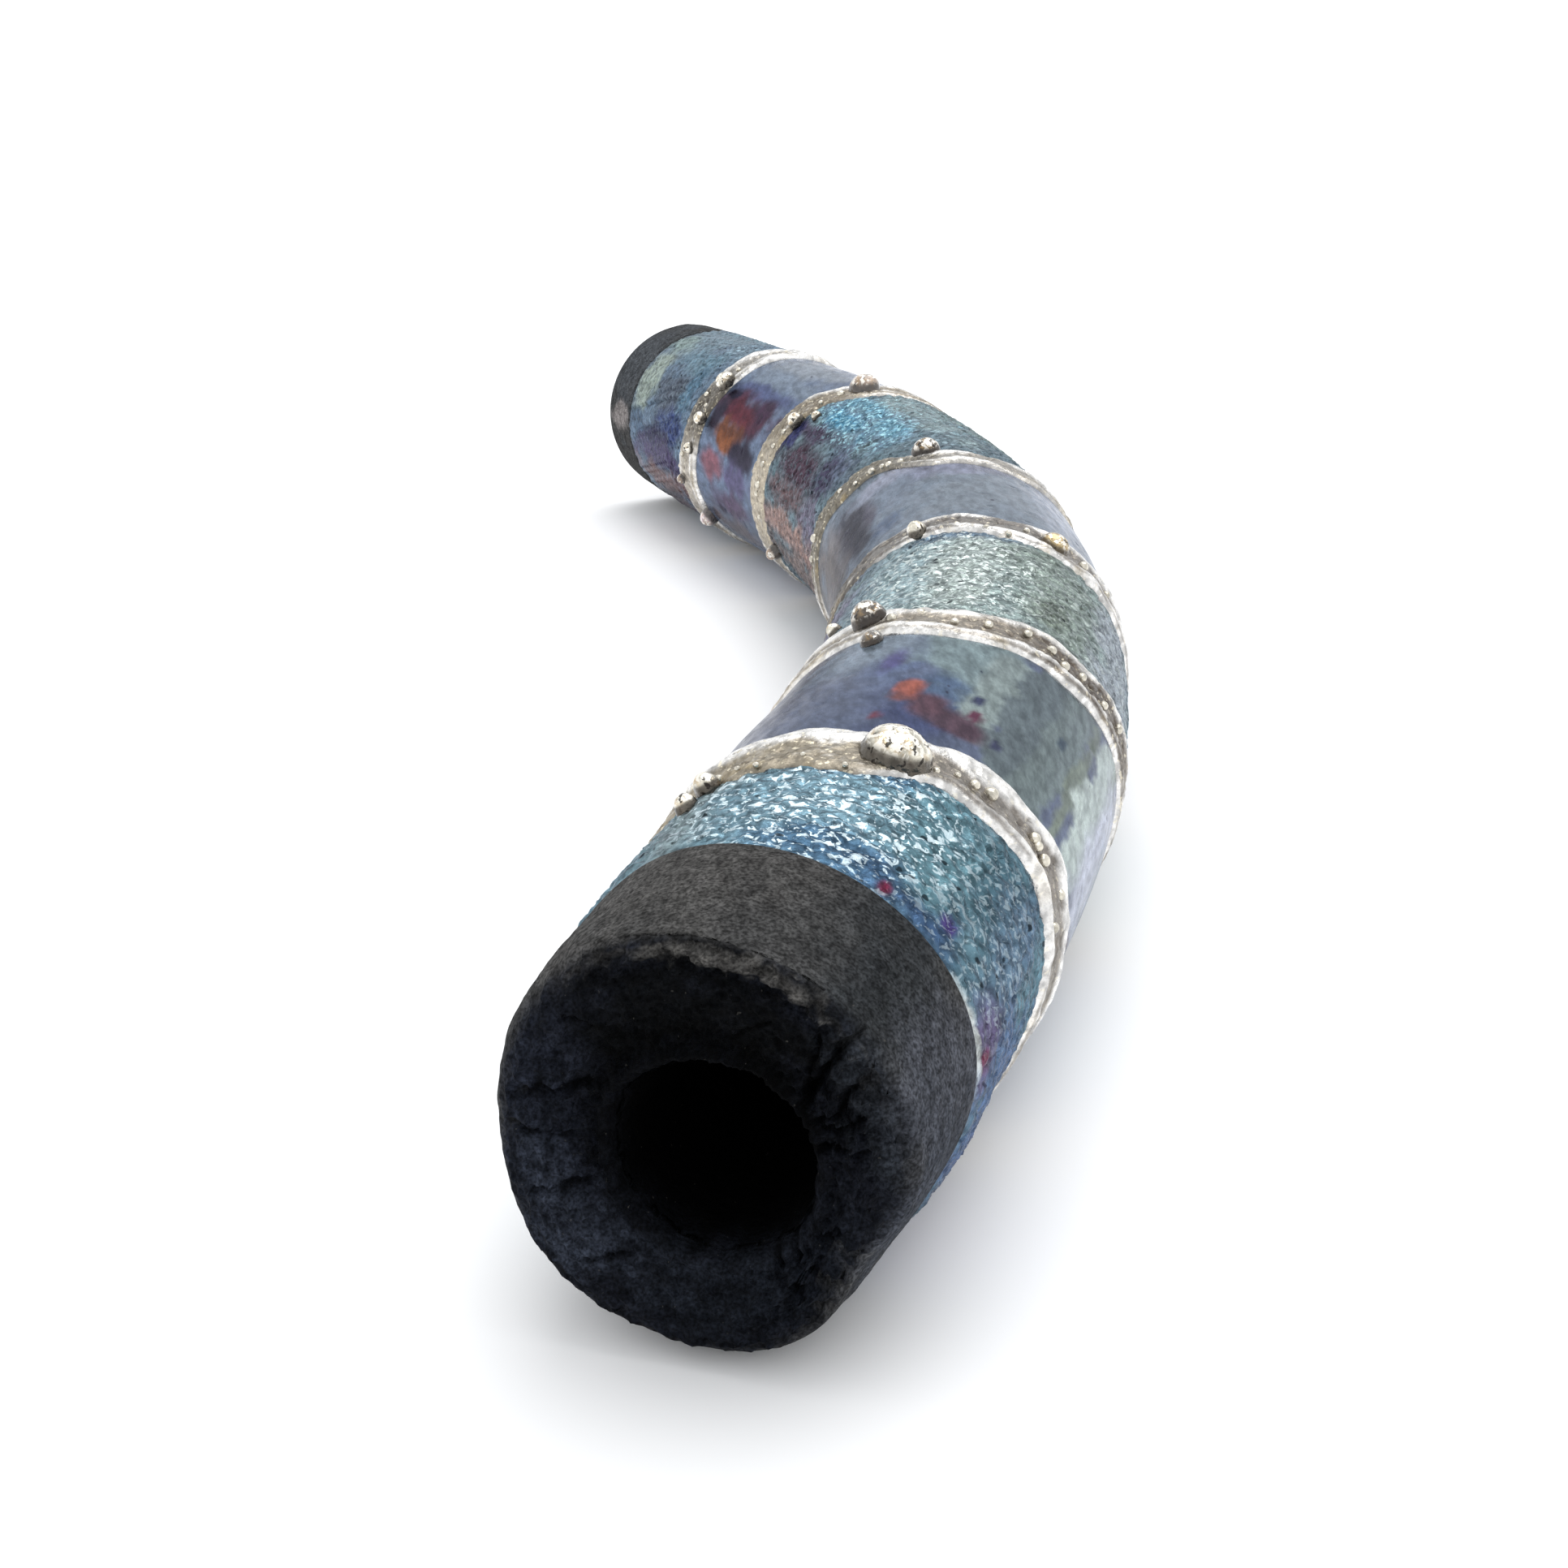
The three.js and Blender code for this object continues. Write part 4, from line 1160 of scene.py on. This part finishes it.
def bare_clay():
    """Smoke-blackened bare clay: matt and fine-grained, with pale grit."""
    graph = Graph("bare_clay", 1.2)
    base = graph.drift(graph.tint, 2.4, 0.66, 1.36)
    base = graph.drift(base, 9.0, 0.45, 1.60)
    grit = graph.specks(0.72, 0.78, 5.5, 2.0)
    base = graph.cover(base, "7d7a74", grit, 0.15)
    roughness = graph.wavering(0.72, 0.92, 3.0)
    normal = graph.bump(graph.noise(2.6, 6.0), 0.9, 0.22)
    normal = graph.bump(graph.noise(8.0, 4.0), 0.7, 0.06, normal)
    return graph.finish(base, roughness, normal, Specular_IOR_Level=0.05)


# ---- the whole bead

# How metallic each kind of drop is, and how thick its clear coat.
DROP_FINISHES = {
    "silver": (0.9, 0.2), "gold": (0.8, 0.3), "umber": (0.6, 0.5), "amber": (0.1, 1.0),
    "rose": (0.2, 1.0),
}


def build_bead():
    add_clay(bare_clay())
    for number, spec in enumerate(BANDS):
        add_band(number, rough_glaze(number) if spec["rough"] else smooth_glaze(number))
    lustre = silver_lustre()
    for number in range(len(RIDGES)):
        add_ridge(number, lustre)
    finishes = {tone: drop_finish(tone, *values) for tone, values in DROP_FINISHES.items()}
    counts = {}
    for order, drop in enumerate(DROPS):
        ridge, tone = drop[0], drop[6]
        counts[ridge] = counts.get(ridge, 0) + 1
        add_drop(order, f"drop_{ridge}_{counts[ridge]}", drop, finishes[tone])


# ---- stage, light and camera

# The floor, in metres: half its side, where it starts to rise behind the bead, and how steeply.
FLOOR_HALF = 24.0
FLOOR_CUTS = 48
FLOOR_FLAT = 4.0
FLOOR_RISE = 0.06
PAPER_WHITE = (0.93, 0.93, 0.935, 1.0)


def add_floor():
    """A white ground like paper, flat around the bead and rising gently far behind it."""
    steps = np.linspace(-FLOOR_HALF, FLOOR_HALF, FLOOR_CUTS + 1)
    points = [(x, y, FLOOR_RISE * max(0.0, x - FLOOR_FLAT)) for x in steps for y in steps]
    row = FLOOR_CUTS + 1
    faces = [
        (i * row + k, (i + 1) * row + k, (i + 1) * row + k + 1, i * row + k + 1)
        for i in range(FLOOR_CUTS)
        for k in range(FLOOR_CUTS)
    ]
    mesh = bpy.data.meshes.new("paper")
    mesh.from_pydata(points, [], faces)
    material = bpy.data.materials.new("paper")
    material.use_nodes = True
    shader = material.node_tree.nodes["Principled BSDF"]
    shader.inputs["Base Color"].default_value = PAPER_WHITE
    shader.inputs["Roughness"].default_value = 0.9
    shader.inputs["Specular IOR Level"].default_value = 0.1
    mesh.materials.append(material)
    floor = bpy.data.objects.new("paper", mesh)
    bpy.context.scene.collection.objects.link(floor)


SKY_COLOUR = (0.97, 0.985, 1.0, 1.0)
SKY_STRENGTH = 1.12
SUN_STRENGTH = 1.35
SUN_WIDTH = 55.0
SUN_FROM = (0.30, -0.22, 1.0)


def add_lights():
    """A white tent: an even sky and one broad soft light from above, on the right and beyond."""
    world = bpy.data.worlds.new("tent")
    world.use_nodes = True
    background = world.node_tree.nodes["Background"]
    background.inputs["Color"].default_value = SKY_COLOUR
    background.inputs["Strength"].default_value = SKY_STRENGTH
    bpy.context.scene.world = world
    data = bpy.data.lights.new("tent_light", "SUN")
    data.energy = SUN_STRENGTH
    data.angle = math.radians(SUN_WIDTH)
    lamp = bpy.data.objects.new("tent_light", data)
    lamp.rotation_mode = "QUATERNION"
    lamp.rotation_quaternion = Vector(SUN_FROM).to_track_quat("Z", "Y")
    bpy.context.scene.collection.objects.link(lamp)


# The camera, as fitted to the photograph; how near and far it sees is in metres.
CAMERA_PLACE = np.array([-105.148, 5.167, 35.873]) * MM
CAMERA_YAW = math.radians(-1.455)
CAMERA_PITCH = math.radians(20.681)
CAMERA_ROLL = math.radians(-1.512)
CAMERA_LENS = 46.584
SENSOR_WIDTH = 36.0
NEAREST_SEEN = 0.005
FARTHEST_SEEN = 60.0


def add_camera():
    """The view along the bead from its near end, from a little above it."""
    forward = Vector((
        math.cos(CAMERA_PITCH) * math.cos(CAMERA_YAW),
        math.cos(CAMERA_PITCH) * math.sin(CAMERA_YAW),
        -math.sin(CAMERA_PITCH),
    ))
    right = Vector((math.sin(CAMERA_YAW), -math.cos(CAMERA_YAW), 0.0))
    up = right.cross(forward)
    leaned_right = right * math.cos(CAMERA_ROLL) + up * math.sin(CAMERA_ROLL)
    leaned_up = up * math.cos(CAMERA_ROLL) - right * math.sin(CAMERA_ROLL)
    data = bpy.data.cameras.new("view")
    data.lens = CAMERA_LENS
    data.sensor_width = SENSOR_WIDTH
    data.clip_start = NEAREST_SEEN
    data.clip_end = FARTHEST_SEEN
    camera = bpy.data.objects.new("view", data)
    turned = Matrix((leaned_right, leaned_up, -forward)).transposed()
    camera.matrix_world = Matrix.Translation(Vector(CAMERA_PLACE)) @ turned.to_4x4()
    bpy.context.scene.collection.objects.link(camera)
    bpy.context.scene.camera = camera


bpy.context.scene.view_settings.view_transform = "Standard"
add_camera()
add_lights()
add_floor()
build_bead()
